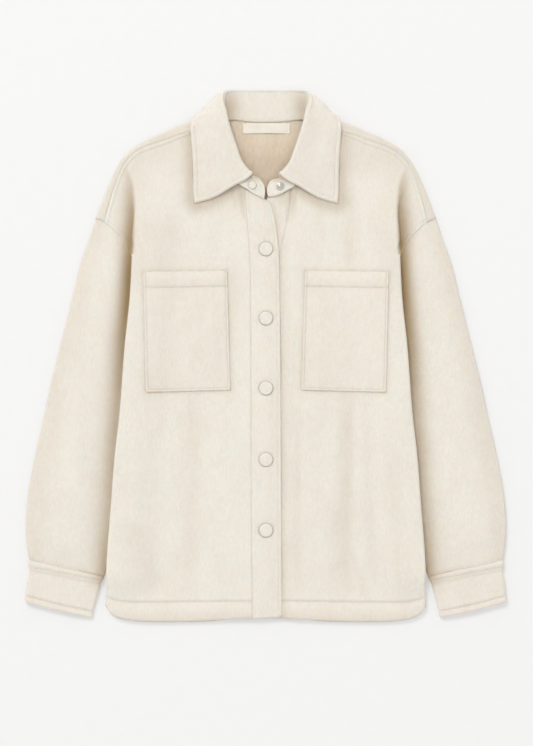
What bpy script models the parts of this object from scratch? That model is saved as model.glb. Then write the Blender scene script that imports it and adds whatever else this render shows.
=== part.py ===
# A button-front overshirt laid flat on its back: two fronts, back, sleeves, cuffs, collar, pockets, snaps
import math
import bpy
import numpy as np
from mathutils import Vector
from mathutils.bvhtree import BVHTree

# Driving sizes, in millimetres; x runs to the viewer's right, y up the garment, z up from the surface
MM = 0.001
WALL = 2.6
CUFF_WALL = 3.2
SEAM = 0.3
FLAT = 8.8
CUFF_FLAT = 9.8
LIFT = 9.2
ROLL = FLAT / 2
HEM_DEPTH = 25.0
HEM_EXTRA = 0.6
FRONT_STEP = 16.0
BACK_STEP = 12.0
RIGHT_CENTRE = 10.4
LEFT_CENTRE = 7.4
UNDER_TOP = 7.6
PLACKET_BASE = 8.1
PLACKET_WALL = 2.8
NECK_RISE = 3.4
SNAP_RADIUS = 9.6
SNAP_HEIGHT = 2.4
STAND_SNAP = 5.6
LABEL_BOX = (-33.0, 34.0, 311.5, 326.5)
LABEL_WALL = 0.8
POCKET_GAP = 0.9

# Side of the body over the sleeves, from the hem up to the shoulder seam: distance from the middle, height
EDGE = ((225, -350), (223.5, -328), (223.5, -300), (222, -272), (217, -210), (211, -132), (206, -90),
        (197, 22), (191, 78), (188, 132), (187, 169), (186, 211), (189, 239), (194, 258), (199, 269))
# Armhole seam from under the arm to the shoulder seam's end, and on to the shoulder's outer point
ARMHOLE = ((188, 140), (193, 150), (200, 161), (207, 169), (216, 178), (222, 183.5), (226.5, 187.5))
ARMHOLE_BACK = ((188, 140), (193, 150), (200, 161), (207, 169), (216, 178), (224, 185), (231, 190), (236.5, 192))
# Shoulder seam on the front, from the neck to the armhole
SHOULDER_SEAM = ((63, 329), (87, 322), (106, 315), (122, 310), (143, 302), (164, 295), (178, 289), (189, 281),
                 (199, 269), (204, 256), (210.5, 239), (216.5, 224), (222, 208), (226.5, 187.5))
# Fold of the shoulder, the garment's outline, from the neck to the shoulder's outer point
SHOULDER = ((60, 341), (87, 334), (105, 329), (123, 323), (138, 316), (169, 302), (191, 288), (203, 274),
            (211, 260), (217.5, 246), (223.5, 232), (229, 218), (234.5, 204), (239, 192))
# Lower edge from the placket to the side
HEM = ((18, -372.6), (60, -372.8), (110, -373), (150, -373), (186, -371.5), (205, -368), (217, -361.5), (225, -350))
# Front neck seam from the placket to the shoulder
NECK = ((36, 239), (44, 247), (52, 257), (60, 269), (65, 284), (68, 300), (68, 315), (63, 329))
# Seams of the two plackets from the hem to the neck
RIGHT_SEAM = ((18.5, -372), (20, -202), (20.5, -62), (21, 78), (22, 134), (24, 165), (26.5, 197), (28, 234))
LEFT_SEAM = ((17, -372), (17, -62), (17, 120), (19, 145), (24, 166), (29, 190), (33, 215), (34, 234))
# Outer and hidden inner edges of the sleeve from the armhole to the cuff
SLEEVE_OUT = ((239, 192), (249, 162), (259, 134), (273, 78), (287, 22), (301, -34), (313, -90), (325.5, -146),
              (335, -202), (337, -230), (336, -262), (332, -286))
SLEEVE_IN = ((172, 122), (173, 78), (179, 22), (188, -90), (197, -170), (208, -235), (219, -284), (228, -310))
SLEEVE_TOP = ((239, 192), (231, 190), (224, 185), (216, 178), (207, 169), (200, 161), (193, 150), (188, 140),
              (181, 130), (172, 122))
CUFF_OUT = ((332, -286), (333, -295), (332, -303), (335, -321), (338, -346))
CUFF_IN = ((228, -310), (233, -325), (238, -342), (242, -358), (244, -368))
CUFF_END = ((338, -346), (322, -350), (304, -355), (269, -363), (244, -368))
# Free edges of the plackets, signed distances from the middle
TOP_FREE = ((22.5, -366), (21, -62), (19.5, 90), (18, 148), (15, 176), (10, 202), (6, 213), (-1, 220))
UNDER_FREE = ((-17, -368), (-17, -200), (-17, -40), (-17, 60), (-15.5, 120), (-11.5, 155), (-6, 190), (1, 222))
# Pocket corners: upper inner, upper outer, lower outer, lower inner
POCKET = ((54, 120), (172, 118), (168, -51), (49.5, -48))
SNAP_HEIGHTS = (150, 53, -45, -145, -244)

# Collar, one half, a row for each station from the middle of the back to the front end.
# turn is how far the fold has rolled over: 0 behind the neck, 180 where the wing lies on the front.
#     fold x,   y,     z, turn, seam x,  y,     z, upper x, y,     z, lower x, y,   z, edge x,    y,     z
COLLAR = (
    (0.0, 368.8, 4.5, 0, 0, 327.5, 7.8, 0, 352, 1.3, 0, 331, 1.3, 0, 310, 1.3),
    (24.0, 368.8, 4.5, 0, 22, 328, 7.8, 24, 352, 1.3, 23, 331, 1.3, 22, 310, 1.3),
    (42.0, 368.6, 5.1, 8, 38, 330, 7.8, 43, 353, 1.3, 41, 332, 1.3, 39, 311, 1.3),
    (53.0, 366.5, 8.6, 40, 49, 331, 8.6, 62, 366, 2.2, 57, 340, 1.3, 54, 313, 1.3),
    (59.0, 359.5, 13.2, 85, 56, 330, 12.2, 72, 362, 7.5, 77, 352, 1.6, 72, 316, 1.3),
    (60.0, 349.0, 16.8, 125, 63, 328, 15.0, 81, 350, 13.5, 89, 344, 3.5, 84, 322, 1.3),
    (59.4, 344.5, 17.6, 135, 66, 325.5, 15.0, 80.5, 345, 15.2, 93, 342.5, 7.5, 94, 337, 1.8),
    (58.5, 340.0, 18.2, 145, 69, 322, 14.8, 80, 339.5, 16.6, 96, 339, 12.5, 103, 336.5, 6.5),
    (57.0, 331.0, 18.8, 155, 72, 314, 14.0, 76, 331, 18.0, 92, 329, 15.4, 105, 323, 14.1),
    (52.0, 313.0, 18.8, 162, 73, 299, 14.3, 72, 311, 18.6, 90, 310, 16.2, 105, 307, 13.8),
    (43.0, 286.6, 18.0, 165, 68, 282, 13.8, 65, 284, 18.2, 85, 283, 15.8, 103, 280, 13.3),
    (37.6, 272.0, 17.0, 167, 61, 266, 12.2, 60, 267, 17.2, 82, 260, 14.4, 102, 252, 11.9),
    (29.0, 260.0, 16.2, 170, 52, 253, 12.2, 55, 251, 16.4, 79, 240, 14.0, 102, 230, 11.2),
    (23.0, 251.5, 15.8, 172, 41, 243, 12.6, 48, 238.5, 16.0, 75, 225, 13.6, 101, 214.5, 11.4),
)
# Rounded ends of the stand beyond the wings
#            upper x, y, lower x, y
RIGHT_END = ((17, 252, 36, 239), (10, 249.5, 27, 233.5), (5, 244, 17, 227), (2, 237, 8, 222.5), (1.2, 228, 2.5, 219.5))
LEFT_END = ((19, 249.5, 40, 238), (12, 248, 30, 232), (6, 245, 18, 226), (2, 238, 9, 223.8), (1.2, 229, 2.8, 223))
FOLD_RADIUS = 3.2
END_HEIGHT = 12.6
END_DROP = 2.6


# Smooth step from 0 to 1
def ease(x):
    x = np.clip(x, 0.0, 1.0)
    return x * x * (3 - 2 * x)


# Smooth curve through rows of points, read at fractions of its length
def along(rows, t):
    p = np.asarray(rows, float)
    s = np.r_[0.0, np.cumsum(np.linalg.norm(np.diff(p, axis=0), axis=1))]
    s /= s[-1]
    slope = np.gradient(p, s, axis=0)
    t = np.clip(np.asarray(t, float), 0.0, 1.0)
    k = np.clip(np.searchsorted(s, t, side="right") - 1, 0, len(s) - 2)
    h = (s[k + 1] - s[k])[..., None]
    f = ((t - s[k])[..., None]) / h
    return ((1 + 2 * f) * (1 - f) ** 2 * p[k] + f * (1 - f) ** 2 * h * slope[k]
            + f * f * (3 - 2 * f) * p[k + 1] + f * f * (f - 1) * h * slope[k + 1])


# Distance of the body's side from the middle at a height
def side_at(y):
    rows = np.asarray(EDGE, float)
    return np.interp(y, rows[:, 1], rows[:, 0])


# How far the body is raised over the tucked sleeve
def lift(x, y, reach):
    inside = side_at(y) - np.abs(x)
    across = 1 - ease((inside - 26) / reach)
    length = ease((y + 354) / 50) * (1 - ease((y - 150) / 108))
    return LIFT * across * length


# Rise of the shoulders over the collar's folded back
def neck_rise(x, y):
    return NECK_RISE * (1 - ease((np.abs(x) - 92) / 45)) * ease((y - 250) / 36)


# Outer surface of a front: side is -1 for the wearer's right, on the viewer's left
def front_height(x, y, side):
    centre = RIGHT_CENTRE if side < 0 else LEFT_CENTRE
    base = FLAT + (centre - FLAT) * np.exp(-(np.abs(x) / 40) ** 4)
    return base + lift(x, y, 46) + neck_rise(x, y)


# Points across a plan region from its centre line to its side, with its first and last rows as given curves
def region(centre, side, first, last, q, t):
    straight = centre[:, None] * (1 - q[None, :, None]) + side[:, None] * q[None, :, None]
    low = first - straight[0]
    high = last - straight[-1]
    return straight + low[None] * ((1 - t) ** 6)[:, None, None] + high[None] * (t ** 3)[:, None, None]


# Plan points and levels shared by the fronts and the back: body columns, then a strip that rolls or steps down
def body_rows(centre_low, centre_high, edge_low, edge_high, top, hem, columns, low, high):
    t_low = np.linspace(0, 1, low + 1)
    t_high = np.linspace(0, 1, high + 1)[1:]
    centre = np.vstack((along(centre_low, t_low), along(centre_high, t_high)))
    edge = np.vstack((along(edge_low, t_low), along(edge_high, t_high)))
    t = np.r_[t_low * 0.7, 0.7 + 0.3 * t_high]
    return region(centre, edge, hem, top, columns, t), t_low, t_high


# Closed shell of cloth from an open sheet: the sheet is its outer side, and its inner side lies one wall in
def shell(name, points, faces, wall, colour, ends=None, lead=0.0):
    points = np.asarray(points, float)
    faces = np.asarray(faces, int)
    wall = np.broadcast_to(np.asarray(wall, float), (len(points),))
    a, b, c, d = (points[faces[:, k]] for k in range(4))
    face_normal = np.cross(c - a, d - b)
    normal = np.zeros_like(points)
    for k in range(4):
        np.add.at(normal, faces[:, k], face_normal)
    normal /= np.linalg.norm(normal, axis=1)[:, None]
    if ends is not None:
        level = ends[:, None] * (1.0, 1.0, 0.0) + (1 - ends[:, None])
        normal *= level
        normal /= np.linalg.norm(normal, axis=1)[:, None]
    points = points + normal * lead
    inner = points - normal * wall[:, None]
    edges = np.vstack([faces[:, [k, (k + 1) % 4]] for k in range(4)])
    key = {}
    for p, q in edges.tolist():
        key[(p, q)] = True
    rim = [(q, p, p + len(points), q + len(points)) for p, q in key if (q, p) not in key]
    every = np.vstack((faces, faces[:, ::-1] + len(points), np.array(rim, int)))
    return solid(name, np.vstack((points, inner)), every.tolist(), colour)


# Mesh object in metres
def solid(name, points, faces, colour):
    mesh = bpy.data.meshes.new(name)
    mesh.from_pydata((np.asarray(points) * MM).tolist(), [], faces)
    mesh.validate()
    mesh.update()
    mesh.shade_smooth()
    mesh.set_sharp_from_angle(angle=math.radians(50))
    item = bpy.data.objects.new(name, mesh)
    bpy.context.scene.collection.objects.link(item)
    mesh.materials.append(finish(name, *colour))
    return item


# Material of one piece
def finish(name, colour, roughness, metallic):
    material = bpy.data.materials.new(name)
    material.use_nodes = True
    shader = material.node_tree.nodes["Principled BSDF"]
    shader.inputs["Base Color"].default_value = (*colour, 1.0)
    shader.inputs["Roughness"].default_value = roughness
    shader.inputs["Metallic"].default_value = metallic
    return material


CLOTH = ((0.83, 0.78, 0.69), 0.95, 0.0)
SNAP = ((0.74, 0.70, 0.62), 0.45, 0.0)
METAL = ((0.62, 0.62, 0.60), 0.3, 0.9)
SATIN = ((0.88, 0.85, 0.78), 0.5, 0.0)


# Faces of a grid of rows and columns, numbered row by row; turned faces look the other way
def grid_faces(rows, columns, turned=False, start=0, closed=False):
    i, j = np.meshgrid(np.arange(rows - 1), np.arange(columns if closed else columns - 1), indexing="ij")
    i, j = i.ravel(), j.ravel()
    k = (j + 1) % columns
    faces = np.stack((i * columns + j, i * columns + k, (i + 1) * columns + k, (i + 1) * columns + j), 1) + start
    return faces[:, ::-1] if turned else faces


# Share of the extra hem thickness at points near the lower edge
def hem_wall(points):
    y = points[:, 1]
    return WALL + HEM_EXTRA * (1 - ease((y + 372 - HEM_DEPTH + 3) / 4)) * (np.abs(points[:, 0]) < 300)


# Strip of a front or back beyond its edge line: rolled round at the side, stepped down at the armhole
def strip_profile(edge, end, q, level_edge, level_flat, up, rho, step):
    across = end - edge
    width = np.linalg.norm(across)
    angle = q * math.pi / 2
    rolled = edge[None] + across[None] * np.sin(angle)[:, None]
    rolled_z = level_edge - up * ROLL * (1 - np.cos(angle))
    flat = edge[None] + across[None] * q[:, None]
    drop = ease(q * width / step)
    flat_z = level_edge + (level_flat - level_edge) * drop
    plan = rho * rolled + (1 - rho) * flat
    return np.column_stack((plan, rho * rolled_z + (1 - rho) * flat_z))


COLUMNS = np.array([0, 0.14, 0.29, 0.44, 0.56, 0.66, 0.75, 0.83, 0.90, 0.96, 1.0])
STRIP = np.array([0.14, 0.3, 0.5, 0.74, 1.0])
LOW_ROWS = 15
HIGH_ROWS = 8


# Point of a curve inset towards the middle
def inset(rows, by):
    p = np.asarray(rows, float).copy()
    p[:, 0] -= by
    return p


# Splits a curve of rows at a height, and gives the lower or the upper part
def part_of(rows, y_from, y_to, n=24):
    p = along(rows, np.linspace(0, 1, 400))
    order = np.argsort(p[:, 1])
    y = np.linspace(y_from, y_to, n)
    return np.column_stack((np.interp(y, p[order, 1], p[order, 0]), y))


# Fraction of a shoulder curve at which it passes a given distance from the middle
def fraction_at(rows, x):
    t = np.linspace(0, 1, 2001)
    p = along(rows, t)
    return t[np.argmin(np.abs(p[:, 0] - x))]


# One front, from its placket seam to the side, the armhole and the shoulder seam
def front(side):
    seam = RIGHT_SEAM if side < 0 else LEFT_SEAM
    split = 188.0
    centre_low = part_of(seam, -372, split)
    upper = part_of(seam, split, 234, 6)
    centre_high = np.vstack((upper, NECK))
    edge_low = part_of(inset(EDGE, ROLL), -350, 140)
    edge_high = part_of(inset(EDGE, ROLL), 140, 269, 12)
    edge_high[:, 0] += ROLL * ease((edge_high[:, 1] - 200) / 69)
    cut = fraction_at(SHOULDER_SEAM, 199)
    top = along(SHOULDER_SEAM, COLUMNS * cut)
    hem = along(HEM, COLUMNS * fraction_at(HEM, 225 - ROLL))
    hem[:, 0] += (seam[0][0] - hem[0, 0]) * (1 - COLUMNS)
    plan, t_low, t_high = body_rows(centre_low, centre_high, edge_low, edge_high, top, hem, COLUMNS,
                                    LOW_ROWS, HIGH_ROWS)
    x, y = plan[..., 0], plan[..., 1]
    z = front_height(x, y, side)
    ends = np.vstack((part_of(EDGE, -350, 140, LOW_ROWS + 1), along(ARMHOLE, t_high)))
    rho = np.r_[np.ones(LOW_ROWS + 1), np.zeros(HIGH_ROWS)]
    rho[LOW_ROWS] = 0.6
    cut_row = along(SHOULDER_SEAM, cut + (1 - cut) * STRIP)
    rows = []
    for i in range(len(ends)):
        strip = strip_profile(plan[i, -1], ends[i], STRIP, z[i, -1], FLAT, 1, rho[i], FRONT_STEP)
        share = np.clip((i - LOW_ROWS) / HIGH_ROWS, 0, 1) ** 3
        straight = plan[-1, -1] + (ends[-1] - plan[-1, -1]) * STRIP[:, None]
        strip[:, :2] += (cut_row - straight) * share
        rows.append(np.vstack((np.column_stack((plan[i], z[i])), strip)))
    points = np.array(rows)
    points[..., 0] *= side
    count = points.shape[1]
    points[:, 0, 0] += side * SEAM
    ends = np.zeros((len(points), count))
    ends[:, -1] = rho
    flat = points.reshape(-1, 3)
    name = "front_right" if side < 0 else "front_left"
    return shell(name, flat, grid_faces(len(points), count, side < 0), hem_wall(flat), CLOTH, ends.ravel())


# The back: two mirrored halves welded at the middle, with the shoulders rolled over to the front seam
def back():
    arc = np.linspace(0, math.pi, 6)[1:]
    neck = ((0, 333), (22, 333), (42, 333.5), (54, 335), (60, 341 - ROLL))
    points, faces, ends_level = [], [], []
    for side in (-1, 1):
        centre_low = np.array(((0.0, -373), (0, -100), (0, 333)))
        shoulder = np.asarray(SHOULDER, float)
        normal = np.gradient(shoulder, axis=0)[:, ::-1] * (1, -1)
        normal /= np.linalg.norm(normal, axis=1)[:, None]
        normal *= -1
        fold_line = shoulder - normal * ROLL * np.sign(normal[:, 1:2])
        edge_low = part_of(inset(EDGE, ROLL), -350, 140)
        edge_high = part_of(inset(EDGE, ROLL), 140, 269, 12)
        edge_high[:, 0] += ROLL * ease((edge_high[:, 1] - 200) / 69)
        cut = fraction_at(fold_line, 203)
        edge_high[-1] = along(fold_line, [cut])[0]
        top = along(fold_line, COLUMNS * cut)
        hem = along(HEM, COLUMNS * fraction_at(HEM, 225 - ROLL))
        hem[:, 0] *= 1 - (1 - COLUMNS) ** 4
        plan, t_low, t_high = body_rows(centre_low, neck, edge_low, edge_high, top, hem, COLUMNS,
                                        LOW_ROWS, HIGH_ROWS)
        x, y = plan[..., 0], plan[..., 1]
        z = lift(x, y, 34) + neck_rise(x, y)
        armhole_t = np.asarray(t_high)
        ends = np.vstack((part_of(EDGE, -350, 140, LOW_ROWS + 1), along(ARMHOLE_BACK, armhole_t)))
        rho = np.r_[np.ones(LOW_ROWS + 1), np.zeros(HIGH_ROWS)]
        rho[LOW_ROWS] = 0.6
        top_strip = along(fold_line, cut + (1 - cut) * STRIP)
        rows = []
        for i in range(len(ends)):
            strip = strip_profile(plan[i, -1], ends[i], STRIP, z[i, -1], 0.0, -1, rho[i], BACK_STEP)
            if rho[i] > 0:
                strip[-1, 2] -= SEAM * rho[i]
            share = np.clip((i - LOW_ROWS) / HIGH_ROWS, 0, 1) ** 3
            straight = plan[-1, -1] + (ends[-1] - plan[-1, -1]) * STRIP[:, None]
            strip[:, :2] += (top_strip - straight) * share
            rows.append(np.vstack((np.column_stack((plan[i], z[i])), strip)))
        t_all = np.r_[COLUMNS * cut, cut + (1 - cut) * STRIP]
        fold = along(fold_line, t_all)
        out = along(shoulder, t_all)
        seam = along(SHOULDER_SEAM, t_all)
        level = rows[-1][:, 2]
        for angle in arc:
            reach = math.sin(angle)
            plan_row = fold + (out - fold) * reach
            rows.append(np.column_stack((plan_row, level + ROLL * (1 - math.cos(angle)))))
        for share in (0.5, 1.0):
            away = seam - fold
            length = np.linalg.norm(away, axis=1)[:, None]
            plan_row = fold + away * (1 - 2 * SEAM / np.maximum(length, 1.0)) * share
            rows.append(np.column_stack((plan_row, level + FLAT)))
        grid = np.array(rows)
        grid[..., 0] *= side
        level_ends = np.zeros(grid.shape[:2])
        level_ends[:len(rho), -1] = rho
        start = len(points)
        local = grid_faces(grid.shape[0], grid.shape[1], side > 0)
        index = np.arange(grid.shape[0] * grid.shape[1]) + start
        if side < 0:
            points.extend(grid.reshape(-1, 3).tolist())
            ends_level.extend(level_ends.ravel().tolist())
            faces.extend(index[local].tolist())
            width = grid.shape[1]
        else:
            flat = grid.reshape(-1, 3)
            new = {}
            for n in range(len(flat)):
                row, column = divmod(n, width)
                if column == 0 and row <= LOW_ROWS:
                    new[n] = row * width
                else:
                    new[n] = len(points)
                    points.append(flat[n].tolist())
                    ends_level.append(level_ends.ravel()[n])
            faces.extend([[new[n] for n in face] for face in local.tolist()])
    points = np.array(points)
    return shell("back", points, faces, hem_wall(points), CLOTH, np.array(ends_level))


# Loop round a flattened tube: plan fractions across it, heights, for a width and a thickness
def stadium(width, thick, across, bend):
    r = thick / 2
    turn = np.linspace(0, math.pi, bend + 1)
    inner = np.linspace(0, 1, across + 1)[1:-1]
    near = (r - r * np.sin(turn)) / width
    near_z = r + r * np.cos(turn)
    top = near[0] + (1 - 2 * near[0]) * inner
    q = np.r_[near[::-1][::-1], top, 1 - near[::-1], top[::-1]]
    z = np.r_[near_z[::-1][::-1], np.zeros(len(top)), near_z[::-1], np.full(len(top), thick)]
    return q, z


# Flattened tube over a plan region between two side curves and two end curves
def tube(name, outer, inner, first, last, thick, wall, stations, side, across=4, bend=4):
    t = np.linspace(0, 1, stations + 1)
    out_line = along(outer, t)
    in_line = along(inner, t)
    rows = []
    for i, v in enumerate(t):
        width = np.linalg.norm(in_line[i] - out_line[i])
        q, z = stadium(width, thick, across, bend)
        straight = out_line[i] + (in_line[i] - out_line[i]) * q[:, None]
        start = along(first, q) - (out_line[0] + (in_line[0] - out_line[0]) * q[:, None])
        end = along(last, q) - (out_line[-1] + (in_line[-1] - out_line[-1]) * q[:, None])
        rows.append(np.column_stack((straight + start * (1 - v) ** 3 + end * v ** 3, z)))
    points = np.array(rows)
    points[..., 0] *= side
    shape = points.shape
    faces = grid_faces(shape[0], shape[1], side > 0, closed=True)
    return shell(name, points.reshape(-1, 3), faces, wall, CLOTH)


# A curve moved along its own plane to leave a seam's gap
def shifted(rows, by):
    p = np.asarray(rows, float)
    return p + np.asarray(by, float)


# Sleeve and cuff of one side
def arm(side):
    label = "right" if side < 0 else "left"
    gap = (0.3, -0.9)
    tube("sleeve_" + label, shifted(SLEEVE_OUT, gap), shifted(SLEEVE_IN, gap), shifted(SLEEVE_TOP, gap),
         shifted((SLEEVE_OUT[-1], SLEEVE_IN[-1]), gap), FLAT, WALL, 12, side)
    down = (0, -1.7)
    tube("cuff_" + label, shifted(CUFF_OUT, down), shifted(CUFF_IN, down),
         shifted((CUFF_OUT[0], CUFF_IN[0]), down), shifted(CUFF_END, down), CUFF_FLAT, CUFF_WALL, 4, side)


# Flat strip between two signed plan curves, lying at a height over the body
def strip(name, left, right, base, wall, rows, columns, colour):
    t = np.linspace(0, 1, rows + 1)
    a, b = along(left, t), along(right, t)
    q = np.linspace(0, 1, columns + 1)
    plan = a[:, None] * (1 - q[None, :, None]) + b[:, None] * q[None, :, None]
    top = np.full(plan.shape[:2], base + wall)
    points = np.dstack((plan, top)).reshape(-1, 3)
    return shell(name, points, grid_faces(rows + 1, columns + 1), wall, colour)


# Both placket bands, one lying over the other
def plackets():
    left = [(-x + SEAM / 2, y) for x, y in RIGHT_SEAM]
    left[0] = (-18.3, -366)
    strip("placket_top", left, TOP_FREE, PLACKET_BASE, PLACKET_WALL, 24, 3, CLOTH)
    right = [(x - SEAM / 2, y) for x, y in LEFT_SEAM]
    right[0] = (16.8, -368)
    strip("placket_under", UNDER_FREE, right, UNDER_TOP - WALL, WALL, 22, 3, CLOTH)


# Patch pocket made from the front's own points, moved out
def pocket(side, panel, depsgraph):
    tree = BVHTree.FromObject(panel, depsgraph)
    corners = np.asarray(POCKET, float)
    rows, columns = 8, 12
    v = np.linspace(0, 1, rows + 1)[:, None, None]
    u = np.linspace(0, 1, columns + 1)[None, :, None]
    plan = ((corners[3] * (1 - u) + corners[2] * u) * (1 - v) + (corners[0] * (1 - u) + corners[1] * u) * v)
    plan[..., 0] *= side
    points = np.zeros((rows + 1, columns + 1, 3))
    for i in range(rows + 1):
        for j in range(columns + 1):
            x, y = plan[i, j]
            spot = tree.ray_cast(Vector((x * MM, y * MM, 0.1)), Vector((0, 0, -1)))[0]
            points[i, j] = (x, y, spot.z / MM + POCKET_GAP + WALL)
    name = "pocket_right" if side < 0 else "pocket_left"
    return shell(name, points.reshape(-1, 3), grid_faces(rows + 1, columns + 1, side < 0), WALL, CLOTH)


# Collar stations of one half, smooth from the middle of the back to the front end
def collar_stations(n):
    rows = np.asarray(COLLAR, float)
    mirror = rows[1:3][::-1].copy()
    mirror[:, (0, 4, 7, 10, 13)] *= -1
    rows = np.vstack((mirror, rows))
    s = np.r_[0.0, np.cumsum(np.linalg.norm(np.diff(rows[:, :3], axis=0), axis=1))]
    slope = np.gradient(rows, s, axis=0)
    at = np.interp(np.linspace(0, 1, n + 1), np.linspace(0, 1, len(COLLAR)), s[2:])
    k = np.clip(np.searchsorted(s, at, side="right") - 1, 0, len(s) - 2)
    h = (s[k + 1] - s[k])[:, None]
    f = (at - s[k])[:, None] / h
    return ((1 + 2 * f) * (1 - f) ** 2 * rows[k] + f * (1 - f) ** 2 * h * slope[k]
            + f * f * (3 - 2 * f) * rows[k + 1] + f * f * (f - 1) * h * slope[k + 1])


# Frame of the fold at each station: the way its round side looks, and the way from it to the stand
def fold_frame(stations):
    tangent = np.gradient(stations[:, :3], axis=0)
    tangent[0] = (1, 0, 0)
    tangent /= np.linalg.norm(tangent, axis=1)[:, None]
    out = np.cross((0.0, 0.0, 1.0), tangent)
    out /= np.linalg.norm(out, axis=1)[:, None]
    high = np.cross(tangent, out)
    a = np.radians(stations[:, 3])[:, None]
    return np.cos(a) * out + np.sin(a) * high, np.cos(a) * high - np.sin(a) * out


# Points of the round fold of the collar, at an angle from its crown towards the stand
def fold_points(stations, crown, to_stand, angle):
    return stations[:, :3] + FOLD_RADIUS * (math.cos(angle) * crown + math.sin(angle) * to_stand)


# Half of the fall: over the fold, down or under, and out to its edge; columns run along the collar
def fall_half(n, across):
    stations = collar_stations(n)
    crown, to_stand = fold_frame(stations)
    rows = [fold_points(stations, crown, to_stand, a) for a in np.radians((-12, -38, -64, -90))]
    for share in np.linspace(0, 1, across + 1)[1:]:
        rows.append(np.array([along((r62, r90, p[7:10], p[10:13], p[13:16]), [f + (1 - f) * share])[0]
                              for r62, r90, p, f in zip(rows[2], rows[3], stations, first_share(rows, stations))]))
    half = np.array(rows)
    half[..., 2] = np.maximum(half[..., 2], WALL / 2)
    return half


# Share of each station's length that its fold takes, before the free part of the fall
def first_share(rows, stations):
    chain = np.stack((rows[2], rows[3], stations[:, 7:10], stations[:, 10:13], stations[:, 13:16]), 1)
    length = np.linalg.norm(np.diff(chain, axis=1), axis=2)
    return length[:, 0] / length.sum(axis=1)


# Half of the stand: from the crown of the fold down to its seam, then the rounded end lying on the placket
def stand_half(n, side, across):
    stations = collar_stations(n)
    crown, to_stand = fold_frame(stations)
    drop = 0.0 if side < 0 else END_DROP
    rows = [fold_points(stations, crown, to_stand, a) for a in np.radians((16, 40, 64, 88))]
    seam = stations[:, 4:7].copy()
    seam[:, 2] -= drop * ease((260 - seam[:, 1]) / 30)
    start = rows[-1]
    for share in np.linspace(0, 1, across + 1)[1:]:
        rows.append(start + (seam - start) * share)
    body = np.array(rows)
    ends = np.asarray(RIGHT_END if side < 0 else LEFT_END, float)
    q = np.linspace(0, 1, len(rows))
    level = np.interp(np.arange(len(ends)), (0, 2), (END_HEIGHT + 0.8, END_HEIGHT)) - drop
    flat = np.array([np.column_stack((ends[:, :2] + (ends[:, 2:] - ends[:, :2]) * f, level)) for f in q])
    return np.concatenate((body, flat), axis=1)


# Whole band round the neck from its two halves, joined at the middle of the back
def band(name, right, left):
    right = right.copy()
    right[..., 0] *= -1
    points = np.concatenate((right[:, ::-1], left[:, 1:]), axis=1)
    rows, columns = points.shape[:2]
    return shell(name, points.reshape(-1, 3), grid_faces(rows, columns), WALL, CLOTH, lead=WALL / 2)


# Stand and fall of the collar
def collar():
    band("collar_stand", stand_half(16, -1, 2), stand_half(16, 1, 2))
    half = fall_half(18, 4)
    band("collar_fall", half, half)


# Round piece turned from a profile of radius and height rows, lying at a place
def turned(name, profile, x, y, z, colour, sides=16):
    points, faces = [], []
    for radius, height in profile:
        for k in range(sides):
            a = 2 * math.pi * k / sides
            points.append((x + radius * math.cos(a), y + radius * math.sin(a), z + height))
    for i in range(len(profile) - 1):
        for k in range(sides):
            m = (k + 1) % sides
            faces.append((i * sides + k, i * sides + m, (i + 1) * sides + m, (i + 1) * sides + k))
    faces.append(tuple(range(sides))[::-1])
    last = (len(profile) - 1) * sides
    faces.append(tuple(range(last, last + sides)))
    return solid(name, points, faces, colour)


# Snap caps down the placket, the small cap on one end of the stand and the stud on the other
def snaps():
    r, h = SNAP_RADIUS, SNAP_HEIGHT
    cap = ((r * 0.94, 0), (r, h * 0.3), (r * 0.96, h * 0.62), (r * 0.82, h * 0.86), (r * 0.5, h * 0.97), (r * 0.2, h))
    top = PLACKET_BASE + PLACKET_WALL + SEAM
    for number, height in enumerate(SNAP_HEIGHTS, 1):
        turned(f"snap_{number}", cap, 0, height, top, SNAP)
    s = STAND_SNAP
    small = ((s * 0.94, 0), (s, h * 0.25), (s * 0.94, h * 0.5), (s * 0.7, h * 0.68), (s * 0.25, h * 0.74))
    turned("snap_stand", small, -19, 239, END_HEIGHT + WALL / 2 + 0.5 + SEAM, SNAP, 16)
    stud = ((s * 0.95, 0), (s, 0.5), (s * 0.9, 1.0), (s * 0.5, 1.0), (s * 0.42, 2.4), (s * 0.3, 2.8))
    turned("stud_stand", stud, 20, 237.5, END_HEIGHT - END_DROP + WALL / 2 + 0.5 + SEAM, METAL, 16)


# Blank label below the collar, on the inside of the back
def label():
    x0, x1, y0, y1 = LABEL_BOX
    low = NECK_RISE + WALL + 0.4
    q = np.linspace(0, 1, 7)
    plan = np.array([[(x0 + (x1 - x0) * u, y0 + (y1 - y0) * v, low + LABEL_WALL) for u in q] for v in (0, 1)])
    return shell("neck_label", plan.reshape(-1, 3), grid_faces(2, 7), LABEL_WALL, SATIN)


def main():
    for old in list(bpy.data.objects):
        bpy.data.objects.remove(old)
    back()
    right = front(-1)
    left = front(1)
    plackets()
    collar()
    snaps()
    label()
    arm(-1)
    arm(1)
    bpy.context.view_layer.update()
    depsgraph = bpy.context.evaluated_depsgraph_get()
    pocket(-1, right, depsgraph)
    pocket(1, left, depsgraph)


main()
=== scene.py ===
import math
import bpy
import numpy as np
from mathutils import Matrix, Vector
from mathutils.bvhtree import BVHTree


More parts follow.
